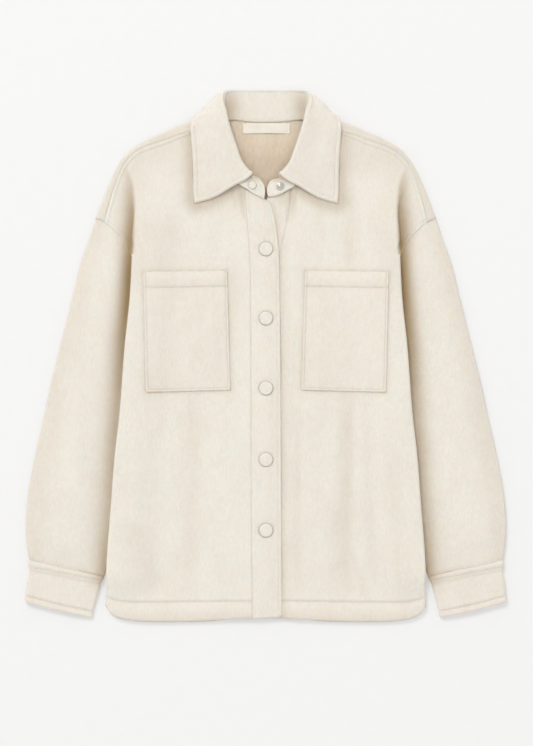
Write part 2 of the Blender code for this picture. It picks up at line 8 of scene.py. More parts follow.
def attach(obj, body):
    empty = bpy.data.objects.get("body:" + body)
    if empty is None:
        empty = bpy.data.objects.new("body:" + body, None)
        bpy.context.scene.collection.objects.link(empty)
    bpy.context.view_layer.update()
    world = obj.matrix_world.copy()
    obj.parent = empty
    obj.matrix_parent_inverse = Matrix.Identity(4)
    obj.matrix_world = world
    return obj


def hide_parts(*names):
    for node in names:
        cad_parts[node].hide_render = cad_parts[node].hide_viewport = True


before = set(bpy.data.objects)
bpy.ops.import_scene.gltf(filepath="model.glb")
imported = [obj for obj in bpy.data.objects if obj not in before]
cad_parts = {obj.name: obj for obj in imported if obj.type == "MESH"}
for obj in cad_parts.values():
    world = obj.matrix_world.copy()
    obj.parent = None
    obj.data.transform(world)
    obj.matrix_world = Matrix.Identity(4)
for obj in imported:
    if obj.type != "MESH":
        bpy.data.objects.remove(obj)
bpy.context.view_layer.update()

mm = 0.001
sideName = {-1: "right", 1: "left"}

# Camera straight above the garment with a long lens, in metres; it sees 0.746 by 1.044 m of the floor
cameraSettings = {"lens": 127.5, "place": (0.0007, -0.0238, 3.71)}
cameraData = bpy.data.cameras.new("camera")
cameraData.lens = cameraSettings["lens"]
camera = bpy.data.objects.new("camera", cameraData)
camera.location = cameraSettings["place"]
bpy.context.scene.collection.objects.link(camera)
bpy.context.scene.camera = camera


# Outline of the garment in millimetres, x and y rows of its left half, mirrored about x = 0
edge = ((225, -350), (223.5, -328), (223.5, -300), (222, -272), (217, -210), (211, -132), (206, -90),
        (197, 22), (191, 78), (188, 132), (187, 169), (186, 211), (189, 239), (194, 258), (199, 269))
armhole = ((188, 140), (193, 150), (200, 161), (207, 169), (216, 178), (222, 183.5), (226.5, 187.5))
armholeBack = (*armhole[:5], (224, 185), (231, 190), (236.5, 192))
shoulderSeam = ((63, 329), (87, 322), (106, 315), (122, 310), (143, 302), (164, 295), (178, 289), (189, 281),
                (199, 269), (204, 256), (210.5, 239), (216.5, 224), (222, 208), (226.5, 187.5))
shoulder = ((60, 341), (87, 334), (105, 329), (123, 323), (138, 316), (169, 302), (191, 288), (203, 274),
            (211, 260), (217.5, 246), (223.5, 232), (229, 218), (234.5, 204), (239, 192))
hem = ((18, -368.0), (60, -370.8), (110, -372.8), (150, -373.2), (186, -371.5), (205, -368),
       (217, -361.5), (225, -350))
hemStitch = ((0, -343.2), (60, -343.6), (150, -345), (190, -344.8), (205, -343), (216, -340), (224, -335.5))
neck = ((36, 239), (44, 247), (52, 257), (60, 269), (65, 284), (68, 300), (68, 315), (63, 329))
rightSeam = ((18.5, -372), (20, -202), (20.5, -62), (21, 78), (22, 134), (24, 165), (26.5, 197), (28, 234))
leftSeam = ((17, -372), (17, -62), (17, 120), (19, 145), (24, 166), (29, 190), (33, 215), (34, 234))
sleeveOut = ((239, 192), (249, 162), (259, 134), (273, 78), (287, 22), (301, -34), (313, -90), (325.5, -146),
             (335, -202), (337, -230), (336, -262), (332, -286))
sleeveIn = ((172, 122), (173, 78), (179, 22), (188, -90), (197, -170), (208, -235), (219, -284), (228, -310))
sleeveTop = ((239, 192), (231, 190), (224, 185), *armhole[4::-1], (181, 130), (172, 122))
cuffOut = ((332, -286), (333, -295), (332, -303), (335, -321), (338, -346))
cuffIn = ((228, -310), (233, -325), (238, -342), (242, -358), (244, -368))
cuffEnd = ((338, -346), (322, -350), (304, -355), (269, -363), (244, -368))
topFree = ((22.5, -366), (21, -62), (19.5, 90), (18, 148), (15, 176), (10, 202), (6, 213), (-1, 220))
underFree = ((-17, -368), (-17, -200), (-17, -40), (-17, 60), (-15.5, 120), (-11.5, 155), (-6, 190),
             (1, 222))
# Height of the front over the back where it lies flat, radius of its rolled side, thickness of the cloth
flat = 8.8
roll = flat / 2
wall = 2.6


# Smooth step from 0 to 1
def ease(x):
    x = np.clip(x, 0.0, 1.0)
    return x * x * (3 - 2 * x)


# Soft hump: 1 at the middle, 0 a few widths away
def hump(x, width):
    return np.exp(-(np.asarray(x) / width) ** 2)


# Distances along a chain of points from its first one
def lengths(points):
    return np.r_[0.0, np.cumsum(np.linalg.norm(np.diff(points, axis=0), axis=1))]


# Rows of a table read at places between its own places: cubic, with slopes from the neighbouring rows
def readAt(table, places, at):
    slope = np.gradient(table, places, axis=0)
    k = np.clip(np.searchsorted(places, at, side="right") - 1, 0, len(places) - 2)
    h = (places[k + 1] - places[k])[..., None]
    f = (at - places[k])[..., None] / h
    return ((1 + 2 * f) * (1 - f) ** 2 * table[k] + f * (1 - f) ** 2 * h * slope[k]
            + f * f * (3 - 2 * f) * table[k + 1] + f * f * (f - 1) * h * slope[k + 1])


# Curve through rows of points, read at shares of its length
def along(rows, t):
    points = np.asarray(rows, float)
    s = lengths(points)
    return readAt(points, s / s[-1], np.clip(np.asarray(t, float), 0.0, 1.0))


# Points of a curve at given heights
def atHeights(rows, y):
    p = along(rows, np.linspace(0, 1, 900))
    order = np.argsort(p[:, 1])
    return np.column_stack((np.interp(y, p[order, 1], p[order, 0]), y))


# Share of a curve's length at which it is a distance from the middle
def shareAt(rows, x):
    t = np.linspace(0, 1, 2001)
    return t[np.argmin(np.abs(along(rows, t)[:, 0] - x))]


# Shares of a length at a pitch, with finer steps near the chosen ends, each a little longer than the last
def spread(length, pitch, low=True, high=True):
    growth = 1.35
    steps = [0.6]
    while steps[-1] * growth < pitch:
        steps.append(steps[-1] * growth)
    near = np.r_[0.0, np.cumsum(steps)]
    first = near if low else np.zeros(1)
    last = length - near[::-1] if high else np.array([length])
    count = max(int((last[0] - first[-1]) / pitch), 1)
    middle = np.linspace(first[-1], last[0], count + 1)
    return np.r_[first[:-1], middle, last[1:]] / length


# The same shares with closer steps about the lines that a groove or a row of stitches follows
def withLines(shares, length, lines):
    near = np.arange(-2.4, 2.5, 0.6)
    extra = [np.clip((line + near) / length, 0, 1) for line in lines]
    every = np.sort(np.concatenate((shares, *extra)))
    keep = np.r_[True, np.diff(every) > 0.25 / length]
    keep[-1] = True
    return every[keep]


# Low waves of the cloth: a sum of seeded sines, each with its own direction and length
def ripple(x, y, seed, longest, shortest):
    dice = np.random.default_rng(seed)
    count = 14
    total = 0
    for k in range(count):
        length = longest * (shortest / longest) ** (k / (count - 1))
        turn = dice.uniform(0, math.pi)
        phase = dice.uniform(0, 2 * math.pi)
        ahead = x * math.cos(turn) + y * math.sin(turn)
        total = total + np.sin(ahead * 2 * math.pi / length + phase) * length / longest
    return total / 2.2


# Troughs (negative depth) and ridges, each a hump across its line that fades towards the line's two ends.
# A table of them has the columns start x, start y, end x, end y, width, depth
def creases(x, y, table):
    total = 0
    for x0, y0, x1, y1, width, depth in table:
        length = math.hypot(x1 - x0, y1 - y0)
        ux, uy = (x1 - x0) / length, (y1 - y0) / length
        t = ((x - x0) * ux + (y - y0) * uy) / length
        across = (x - x0) * uy - (y - y0) * ux
        total = total + depth * hump(across, width) * ease((t + 0.15) / 0.35) * ease((1.15 - t) / 0.35)
    return total


# Least distance in plan from points to a line through rows of points
def gapTo(x, y, rows):
    rows = np.asarray(rows, float)
    best = np.full(np.shape(x), np.inf)
    for a, b in zip(rows[:-1], rows[1:]):
        step = b - a
        t = np.clip(((x - a[0]) * step[0] + (y - a[1]) * step[1]) / (step @ step), 0, 1)
        best = np.minimum(best, np.hypot(x - a[0] - t * step[0], y - a[1] - t * step[1]))
    return best


# Drop of quarter-round borders, from pairs of the distance to a border and the radius there
def rounded(*borders):
    return sum(r - np.sqrt(np.maximum(r ** 2 - np.clip(r - gap, 0, r) ** 2, 0)) for gap, r in borders)


# Unit normals at the points, from the cross products of their faces' diagonals
def pointNormals(points, faces):
    normal = np.zeros_like(points)
    corners = [points[faces[:, k]] for k in range(4)]
    crossed = np.cross(corners[2] - corners[0], corners[3] - corners[1])
    for k in range(4):
        np.add.at(normal, faces[:, k], crossed)
    return normal / np.maximum(np.linalg.norm(normal, axis=1, keepdims=True), 1e-9)


# Distance over the cloth from the first and last column and the first and last row
def borderGaps(points):
    across = np.linalg.norm(np.diff(points, axis=1), axis=2)
    down = np.linalg.norm(np.diff(points, axis=0), axis=2)
    left = np.concatenate((np.zeros((len(points), 1)), np.cumsum(across, axis=1)), axis=1)
    low = np.concatenate((np.zeros((1, points.shape[1])), np.cumsum(down, axis=0)), axis=0)
    return left, left[:, -1:] - left, low, low[-1:] - low


# Where a field on a grid passes zero along each column: the line that a row of stitches follows
def zeroLine(points, field):
    passes = (field[:-1] < 0) != (field[1:] < 0)
    columns = np.nonzero(passes.any(axis=0))[0]
    k = passes.argmax(axis=0)[columns]
    a, b = field[k, columns], field[k + 1, columns]
    share = (a / (a - b))[:, None]
    return points[k, columns] * (1 - share) + points[k + 1, columns] * share


# The same along each row
def crossLine(points, field):
    return zeroLine(np.swapaxes(points, 0, 1), field.T)


# Faces of a grid; closed joins the last column to the first, turned looks the other way
def gridFaces(rows, columns, closed=False, turned=False):
    i, j = np.meshgrid(np.arange(rows - 1), np.arange(columns if closed else columns - 1), indexing="ij")
    i, j = i.ravel(), j.ravel()
    k = (j + 1) % columns
    faces = np.stack((i * columns + j, i * columns + k, (i + 1) * columns + k, (i + 1) * columns + j), 1)
    return faces[:, ::-1] if turned else faces


# Mesh object from millimetre points, with smooth shading; shade, painted shade, warms and darkens its colour
def meshObject(name, points, faces, material, shade):
    mesh = bpy.data.meshes.new(name)
    points = np.asarray(points, float).reshape(-1, 3) * mm
    faces = np.asarray(faces, np.int32)
    mesh.vertices.add(len(points))
    mesh.vertices.foreach_set("co", points.ravel())
    mesh.loops.add(faces.size)
    mesh.loops.foreach_set("vertex_index", faces.ravel())
    mesh.polygons.add(len(faces))
    starts = np.arange(0, faces.size, faces.shape[1], dtype=np.int32)
    mesh.polygons.foreach_set("loop_start", starts)
    mesh.update(calc_edges=True)
    mesh.validate()
    mesh.shade_smooth()
    attribute = mesh.attributes.new("shade", "FLOAT", "POINT")
    attribute.data.foreach_set("value", np.asarray(shade, np.float32).ravel())
    mesh.materials.append(material)
    item = bpy.data.objects.new(name, mesh)
    bpy.context.scene.collection.objects.link(item)
    return item


# Closed cloth from a grid, or from points and faces. Outer sheet = point - drop * normal, inner sheet =
# point - thickness * normal, and a strip joins their borders; no point goes below the floor
def clothPiece(name, points, thickness, drop=0.0, shade=0.0, material=None, faces=None, inside=None, **grid):
    shape = points.shape[:-1]
    if faces is None:
        faces = gridFaces(*shape, **grid)
    points = points.reshape(-1, 3)
    count = len(points)
    thickness, drop, shade = (np.broadcast_to(v, shape).reshape(-1, 1) for v in (thickness, drop, shade))
    normal = pointNormals(points, faces)
    edges = np.vstack([faces[:, [k, (k + 1) % 4]] for k in range(4)]).astype(np.int64)
    border = edges[~np.isin(edges[:, 0] * count + edges[:, 1], edges[:, 1] * count + edges[:, 0])]
    rim = np.stack((border[:, 1], border[:, 0], border[:, 0] + count, border[:, 1] + count), 1)
    every = np.vstack((faces, faces[:, ::-1] + count, rim))
    both = np.vstack((points - normal * drop, points - normal * np.maximum(thickness, drop + 0.4)))
    both[:, 2] = np.maximum(both[:, 2], 0.0)
    piece = meshObject(name, both, every, material or cloth, np.vstack((shade, shade)))
    if inside is not None:
        piece.data.materials.append(inside)
        which = np.repeat((0, 1, 0), (len(faces), len(faces), len(rim)))
        piece.data.polygons.foreach_set("material_index", which.astype(np.int32))
    return piece


# Inputs of a node, named or numbered, from values or from other nodes' outputs
def setInputs(tree, node, inputs):
    for name, value in inputs.items():
        if isinstance(value, bpy.types.NodeSocket):
            tree.links.new(value, node.inputs[name])
        else:
            node.inputs[name].default_value = value


def addNode(tree, kind, inputs, **settings):
    made = tree.nodes.new(kind)
    for name, value in settings.items():
        setattr(made, name, value)
    setInputs(tree, made, inputs)
    return made


# Noise stretched along a turned axis, spread over -1 to 1
def grainNoise(tree, vector, scale, detail, stretch=(1, 1, 1), turn=0.0):
    moved = addNode(tree, "ShaderNodeMapping",
                    {"Vector": vector, "Scale": stretch, "Rotation": (0, 0, turn)}).outputs[0]
    noise = addNode(tree, "ShaderNodeTexNoise",
                    {"Vector": moved, "Scale": scale, "Detail": detail, "Roughness": 0.6}).outputs[0]
    return addNode(tree, "ShaderNodeMapRange", {"Value": noise, "From Min": 0.3, "From Max": 0.7,
                                                "To Min": -1.0, "To Max": 1.0}).outputs[0]


# a * factor + b
def mixIn(tree, a, factor, b):
    return addNode(tree, "ShaderNodeMath", {0: a, 1: factor, 2: b}, operation="MULTIPLY_ADD").outputs[0]


# Colour between two others by a factor; with MULTIPLY, the first colour times the second by that factor
def tint(tree, factor, first, second, blend="MIX"):
    return addNode(tree, "ShaderNodeMix", {0: factor, 6: first, 7: second},
                   data_type="RGBA", blend_type=blend).outputs[2]


def bumpNormal(tree, strength, distance, height):
    return addNode(tree, "ShaderNodeBump",
                   {"Strength": strength, "Distance": distance, "Height": height}).outputs[0]


# New material: itself, its node tree, its shader and the coordinates that its patterns follow
def newMaterial(name):
    material = bpy.data.materials.new(name)
    material.use_nodes = True
    tree = material.node_tree
    place = addNode(tree, "ShaderNodeTexCoord", {}).outputs["Object"]
    return material, tree, tree.nodes["Principled BSDF"], place


# Brushed cloth: soft mottling and bands, combed fibre streaks in two directions and fine speckle.
# The Shade input paints shade: it multiplies the colour towards the Shadow colour
def napGroup():
    tree = bpy.data.node_groups.new("brushed nap", "ShaderNodeTree")
    sockets = (("INPUT", "Vector", "Vector"), ("INPUT", "Color", "Light Dark Shadow"),
               ("INPUT", "Float", "Mottle Fibre Speckle Shade Relief"),
               ("OUTPUT", "Color", "Colour"), ("OUTPUT", "Vector", "Normal"))
    for direction, kind, names in sockets:
        for name in names.split():
            tree.interface.new_socket(name=name, in_out=direction, socket_type=f"NodeSocket{kind}")
    source = tree.nodes.new("NodeGroupInput").outputs
    vector = source["Vector"]
    mottle = grainNoise(tree, vector, 28, 3)
    streaks = grainNoise(tree, vector, 420, 3, (1.0, 0.30, 1.0), 0.12)
    crossing = grainNoise(tree, vector, 300, 2, (1.0, 0.42, 1.0), -0.35)
    bands = grainNoise(tree, vector, 40, 2, (1.0, 0.22, 1.0), 0.05)
    speckle = grainNoise(tree, vector, 950, 3)
    tone = 0.24
    for grain, share in ((mottle, "Mottle"), (bands, "Mottle"), (streaks, "Fibre"), (crossing, "Fibre"),
                         (speckle, "Speckle")):
        tone = mixIn(tree, grain, source[share], tone)
    colour = tint(tree, tone, source["Light"], source["Dark"])
    height = mixIn(tree, crossing, 0.35, mixIn(tree, streaks, 0.35, speckle))
    result = tree.nodes.new("NodeGroupOutput")
    setInputs(tree, result, {"Colour": tint(tree, source["Shade"], colour, source["Shadow"], "MULTIPLY"),
                             "Normal": bumpNormal(tree, source["Relief"], 0.0005, height)})
    return tree


napTree = napGroup()
napSettings = {"Mottle": 0.09, "Fibre": 0.13, "Speckle": 0.12}


# Cloth material; its sheen is the soft light that the raised fibres catch
def clothMaterial(name, light, dark, shadow, relief=0.6):
    material, tree, shader, place = newMaterial(name)
    nap = tree.nodes.new("ShaderNodeGroup")
    nap.node_tree = napTree
    # Painted shade from the mesh's shade attribute
    shade = addNode(tree, "ShaderNodeAttribute", {}, attribute_name="shade").outputs["Fac"]
    setInputs(tree, nap, {"Vector": place, "Shade": shade, "Light": (*light, 1), "Dark": (*dark, 1),
                          "Shadow": (*shadow, 1), "Relief": relief, **napSettings})
    setInputs(tree, shader, {"Base Color": nap.outputs["Colour"], "Normal": nap.outputs["Normal"],
                             "Roughness": 0.92, "Specular IOR Level": 0.2, "Subsurface Weight": 0.3,
                             "Subsurface Radius": (1.0, 0.55, 0.3), "Subsurface Scale": 0.004,
                             "Sheen Weight": 0.25, "Sheen Roughness": 0.5,
                             "Sheen Tint": (1.0, 0.96, 0.90, 1)})
    return material


# Each cloth's third colour is its painted shadow colour, which the shade attribute mixes in
cloth = clothMaterial("cream cloth", (0.91, 0.86, 0.785), (0.79, 0.72, 0.625), (0.42, 0.30, 0.14))
# Inside faces: the cloth darker and warmer, painted shade of the hollow inside the garment
shadedInsideCloth = clothMaterial("inside cloth", (0.81, 0.715, 0.58), (0.66, 0.53, 0.385), (0.36, 0.20, 0.08))
thread = clothMaterial("thread", (0.80, 0.735, 0.63), (0.70, 0.62, 0.50), (0.4, 0.3, 0.14), 0.2)
# Lines of stitches by piece, in pairs of the piece that they are sewn on and their points
seams = {"body": [], "arms": [], "plackets": [], "pockets": [], "collar": []}


# Half width of the body in plan at a height
def sideAt(y):
    x, heights = np.asarray(edge, float).T
    return np.interp(y, heights, x)


liftHeight = 9.2


# Height of the body over the tucked sleeves: full near its sides, less inwards and by the hem and shoulders
def lift(x, y, reach):
    inside = sideAt(y) - np.abs(x)
    return liftHeight * (1 - ease((inside - 26) / reach)) * ease((y + 354) / 50) * (1 - ease((y - 182) / 84))


# Height of the shoulders over the folded back of the collar
def neckRise(x, y):
    return 3.4 * (1 - ease((np.abs(x) - 92) / 45)) * ease((y - 250) / 36)


# Distance below the hem's stitch line; negative above it
def belowHem(x, y):
    across, heights = np.asarray(hemStitch, float).T
    return np.interp(np.abs(x), across, heights) - y


# The hem's band: a puff between its stitch line and its fold, and a groove on the line
def hemShape(x, y):
    below = belowHem(x, y)
    puff = 0.9 * np.sin(np.clip(below / 28, 0, 1) * math.pi) ** 0.6
    return puff - 0.8 * hump(below, 1.3) + 0.25 * hump(below + 4, 3.5)


# Cloth's thickness, more below the hem's stitch line, where it is double
def hemThickness(x, y):
    return wall + 1.8 * ease(belowHem(x, y) / 3)


# Painted shade in the valley beside the body, a hump across it. Columns: height in the garment, distance of
# the hump's middle from the body's side, its width outwards, its depth
valleyTable = ((-350, 1.5, 15, 0.5), (-300, 1.5, 15, 0.7), (-230, 1.5, 16, 0.5), (-90, 2, 16, 0.55),
               (-34, 2, 16, 0.7), (22, 2, 16, 0.85), (78, 2, 15, 1.0), (120, 2, 14, 1.0),
               (148, 1.5, 14, 0.95), (176, 1, 15, 0.85), (204, 0.5, 15, 0.7), (235, 0, 12, 0.5),
               (254, 0, 8, 0.3), (270, 0, 5, 0.0))
valleySettings = {"strength": 0.95, "inwards": 4}


def valleyShade(points):
    x, y = points[..., 0], points[..., 1]
    heights, *columns = np.asarray(valleyTable, float).T
    middle, width, depth = (np.interp(y, heights, column) for column in columns)
    off = np.abs(x) - sideAt(y) - middle
    across = hump(off, np.where(off < 0, valleySettings["inwards"], width))
    return valleySettings["strength"] * across * depth


# Wing of the collar and the pocket in plan. contactShade paints shade on the cloth beside the wings, under
# the stand's ends, beside the placket and the pockets, on the hem's line and band, towards the shoulders and
# inside the sides
wingEdge = ((20, 253), (38, 242), (52, 232), (66, 224), (80, 217), (90, 214), (99.5, 212.8), (103, 219),
            (102.5, 246), (103, 274), (104.5, 302), (105.5, 320), (105, 332))
pocketCorners = ((54, 120), (172, 118), (168, -51), (49.5, -48))


def contactShade(points, side):
    x, y = points[..., 0], points[..., 1]
    toWing = gapTo(np.abs(x), y, wingEdge)
    shade = 0.34 * hump(np.maximum(toWing - 2, 0), 11) * (1 - 0.3 * ease((y - 225) / 70))
    shade = np.maximum(shade, 0.30 * hump(np.hypot(np.abs(x) - 30, (y - 232) * 0.8), 18))
    if side > 0:
        toEdge = gapTo(x, y, topFree) + 30 * ease((y - 214) / 10)
        shade = np.maximum(shade, 0.12 * hump(toEdge - 1, 4.5) + 0.05 * hump(toEdge, 14))
    else:
        shade = np.maximum(shade, 0.12 * hump(gapTo(-x, y, rightSeam), 1.8))
    toPocket = gapTo(np.abs(x), y, (*pocketCorners, pocketCorners[0]))
    shade = shade + 0.07 * hump(toPocket, 5) + 0.14 * hump(toPocket, 1.6) + 0.08 * ease((y - 235) / 50)
    below = belowHem(x, y)
    shade = shade + 0.12 * hump(below, 2.2) + 0.11 * ease((below - 6) / 22)
    return shade + 0.06 * hump(sideAt(y) - np.abs(x) - 6, 26) * ease((y - 60) / 80) * ease((300 - y) / 60)


# Puckers below the stand's end on the viewer's right, in the front and in the placket below it
leftPuckers = ((36, 236, 30, 186, 3.2, -1.5), (29, 232, 24, 192, 2.6, 1.0), (44, 240, 38, 196, 3.4, -1.0),
               (50, 246, 46, 206, 3.2, 0.7), (23, 226, 17, 180, 3.0, -0.8))
frontSettings = {
    "pitch": 3.4, "ripple": 0.30, "edgePuff": 1.5, "centre": {-1: 10.4, 1: 7.4}, "seed": {-1: 5, 1: 9},
    "shoulderStitch": 6.4, "armStitch": 6.0,
    "creases": {
        -1: ((-100, 20, -112, -330, 15, -0.5), (-70, -60, -62, -330, 13, 0.35),
             (-185, -230, -158, -330, 16, -0.7), (-140, 190, -120, 60, 22, -0.4),
             (-160, -70, -170, -240, 12, 0.4), (-45, 120, -50, -60, 10, -0.3),
             (-38, 238, -30, 192, 3.2, -1.3), (-32, 234, -25, 196, 2.4, 0.8),
             (-50, 246, -42, 208, 4.0, -0.9), (-45, 242, -36, 206, 2.8, 0.6)),
        1: ((118, -50, 108, -340, 13, -1.2), (140, -60, 150, -330, 9, -0.5), (129, -60, 128, -330, 8, 0.5),
            (45, -90, 44, -330, 7, -0.7), (62, -60, 60, -330, 10, 0.45), (122, -270, 140, -345, 6, -0.6),
            (96, -200, 92, -340, 8, -0.4), (120, 230, 116, 120, 14, -0.8), (96, 240, 100, 130, 12, 0.4),
            (150, 240, 160, 60, 16, 0.4), (178, -120, 186, -330, 14, -0.5), (75, 220, 70, 120, 10, -0.3),
            *leftPuckers)}}


# Outer surface of a front; side is -1 on the viewer's left
def frontHeight(x, y, side):
    raised = (frontSettings["centre"][side] - flat) * hump(np.abs(x) ** 2 / 40, 40)
    base = flat + raised + lift(x, y, 46) + neckRise(x, y)
    inside = sideAt(y) - np.abs(x)
    puff = frontSettings["edgePuff"] * hump(inside - 14, 13) * ease((y + 345) / 40)
    puff = puff * (1 - ease((y - 150) / 80))
    waves = frontSettings["ripple"] * ripple(x, y, frontSettings["seed"][side], 170, 24)
    return base + puff + waves + creases(x, y, frontSettings["creases"][side]) + hemShape(x, y)


# Lowest row of the body and the foot of its armholes, as heights in the garment
lowest = -372
armholeFoot = 140
# Side strips: the height that a folded one comes down to, the way that a rolled one turns, how far a folded
# one goes back over itself, how deep its valley is, and how far the rolled one's last point is tucked in
frontStrip = {"low": flat + 0.2, "down": 1, "over": 0.32, "depth": 1, "tuck": 0}
backStrip = {"low": 0.0, "down": -1, "over": 0, "depth": 0, "tuck": 0.3}


# Shares of the body's height below the armhole for some heights
def lowShares(*heights):
    return (np.r_[heights] - lowest) / (armholeFoot - lowest)


# Points of the body's side by shares of the height below the armhole
def alongSide(rows, low):
    bottom = edge[0][1]
    return atHeights(rows, bottom + (armholeFoot - bottom) * low)


# Side line of the body's flat part, inside the rolled side
def innerEdge(low, high):
    rows = np.asarray(edge, float) - (roll, 0)
    above = atHeights(rows, armholeFoot + (edge[-1][1] - armholeFoot) * high)
    y = above[:, 1]
    above[:, 0] += roll * ease((y - 200) / 69) - 3.0 * ease((y - 138) / 30) * (1 - ease((y - 205) / 50))
    return np.vstack((alongSide(rows, low), above))


# Plan points of a panel between its middle line and its side line. The first row bends on to the hem and the
# last one on to the top line; low and high are the rows' shares below and above the armhole's foot
def planRegion(middle, side, hemRow, topRow, q, low, high):
    t = np.r_[low * 0.7, 0.7 + 0.3 * high][:, None, None]
    straight = middle[:, None] * (1 - q[None, :, None]) + side[:, None] * q[None, :, None]
    return straight + (hemRow - straight[0]) * (1 - t) ** 6 + (topRow - straight[-1]) * t ** 3


# One row of a side strip. Rolled, it goes down a quarter turn. Folded, it goes over itself: plan distance =
# fold * (u + over * sin(2 pi u)), height eased down, with a rounded lip above and a valley below
def sideStrip(start, end, q, high, rollShare, raised, shape):
    across = end - start
    width = max(np.linalg.norm(across), 0.1)
    fold = min(19.0, 0.8 * width)
    raised = raised * ease((width - 9) / 14)
    u = np.clip(q / 0.6, 0, 1)
    reach = fold * (u + shape["over"] * raised * np.sin(2 * math.pi * u))
    reach = reach + (width - fold) * np.clip((q - 0.6) / 0.4, 0, 1)
    lip = 1.1 * hump(u - 0.16, 0.14) - 2.2 * hump(u - 0.86, 0.2) * ease((1 - q) / 0.3)
    z = high + (shape["low"] - high) * ease(u) + shape["depth"] * raised * lip
    angle = (q * math.pi / 2)[:, None]
    level = high - shape["down"] * roll * (1 - np.cos(angle))
    rolled = np.hstack((start + across * np.sin(angle), level))
    folded = np.column_stack((start + across * (reach / width)[:, None], z))
    row = rollShare * rolled + (1 - rollShare) * folded
    row[-1, 2] -= shape["tuck"] * rollShare
    return row


# Rows of a panel with their side strips; towards the top the strips bend on to stripTop
def panelRows(plan, z, ends, high, strip, stripTop, shape):
    bend = stripTop - plan[-1, -1] - (ends[-1] - plan[-1, -1]) * strip[:, None]
    shares = np.r_[np.zeros(len(ends) - len(high)), high]
    rows = []
    for row, end, share in zip(np.dstack((plan, z)), ends, shares):
        corner, level = row[-1, :2], row[-1, 2]
        raised = lift(sideAt(corner[1]), corner[1], 46) / liftHeight
        part = sideStrip(corner, end, strip, level, np.clip(1 - share / 0.12, 0, 1), raised, shape)
        part[:, :2] += bend * share ** 3
        rows.append(np.vstack((row, part)))
    return rows


# One front, from its seam with the placket to its side strip and up to the shoulder seam; its rows are closer
# together round the hem's stitch line
def makeFront(side):
    pitch = frontSettings["pitch"]
    shoulderStitch, armStitch = frontSettings["shoulderStitch"], frontSettings["armStitch"]
    seam = rightSeam if side < 0 else leftSeam
    hemRows = lowest + np.array([0, 0.5, 1.1, 1.9, 3.0, 4.6, 7, 10, 13.5, 17, 20, 22.5])
    low = lowShares(*hemRows, *np.arange(-348, -335, 0.8), *np.arange(-333, armholeFoot, pitch), armholeFoot)
    high = withLines(spread(190, pitch, low=False), 190, (183.6, 186.6))[1:]
    top = np.vstack((atHeights(seam, np.linspace(188, 234, 12)), neck))
    middle = np.vstack((atHeights(seam, lowest + (188 - lowest) * low), along(top, high)))
    columns = spread(185, pitch, high=False)
    strip = np.r_[np.linspace(0, 0.72, 25)[1:], np.linspace(0.74, 1, 15)]
    cut = shareAt(shoulderSeam, edge[-1][0])
    hemRow = along(hem, columns * shareAt(hem, edge[0][0] - roll))
    hemRow[:, 0] += (seam[0][0] - hemRow[0, 0]) * (1 - columns)
    topRow = along(shoulderSeam, columns * cut)
    plan = planRegion(middle, innerEdge(low, high), hemRow, topRow, columns, low, high)
    ends = np.vstack((alongSide(edge, low), along(armhole, high)))
    points = np.array(panelRows(plan, frontHeight(plan[..., 0], plan[..., 1], side), ends, high, strip,
                                along(shoulderSeam, cut + (1 - cut) * strip), frontStrip))
    left, right, bottom, above = borderGaps(points)
    atArm = ease((ends[:, 1] - 146) / 14)[:, None]
    armRidge = 0.6 * hump(right - 3.2, 1.8) - 0.3 * hump(right - armStitch, 1.2) - rounded((right, 0.6))
    ridge = 0.6 * hump(above - 3.4, 1.9) - 0.3 * hump(above - shoulderStitch, 1.2) + atArm * armRidge
    drop = rounded((above, 0.5), (left, 1.0), (bottom, 4.2)) - ridge
    points[..., 0] *= side
    x, y = points[..., 0], points[..., 1]
    # Painted shade: the valley's and contactShade's, and more in the troughs of the creases
    shade = np.maximum(valleyShade(points) * (y > 142), contactShade(points, side))
    shade = shade + 0.11 * np.maximum(-creases(x, y, frontSettings["creases"][side]), 0)
    name = f"front_cloth_{sideName[side]}"
    piece = clothPiece(name, points, hemThickness(x, y), drop, shade, turned=side < 0)
    arm = ends[:, 1] > 150
    for line in (zeroLine(points[:60], belowHem(x[:60], y[:60])),
                 zeroLine(points[-30:], above[-30:] - shoulderStitch),
                 crossLine(points[arm], right[arm] - armStitch)):
        seams["body"].append((piece, line))
    return piece


# Rows over a shoulder: round the fold line on a half circle, flat to the seam, two tucked under the front
def shoulderRows(foldLine, shares, level):
    fold, out, seam = (along(line, shares) for line in (foldLine, shoulder, shoulderSeam))
    sway = 1 + 0.024 * ripple(fold[:, 0], fold[:, 1], 3, 120, 25)[:, None]
    rows = []
    for angle in np.linspace(0, math.pi, 17)[1:]:
        place = fold + (out - fold) * math.sin(angle) * sway
        rows.append(np.column_stack((place, level + roll * (1 - math.cos(angle)))))
    away = seam - fold
    length = np.maximum(np.linalg.norm(away, axis=1), 1.0)
    for share in withLines(spread(20, 2.0, low=False), 20, (17,))[1:]:
        gap = (1 - share) * length
        ridge = 0.5 * hump(gap - 3.2, 1.8) - rounded((gap, 0.5))
        rows.append(np.column_stack((fold + away * share, level + flat + ridge)))
    for step, sink in ((0.8, 0.9), (3.0, 1.6)):
        rows.append(np.column_stack((fold + away * (1 + step / length[:, None]), level + flat - sink)))
    return rows


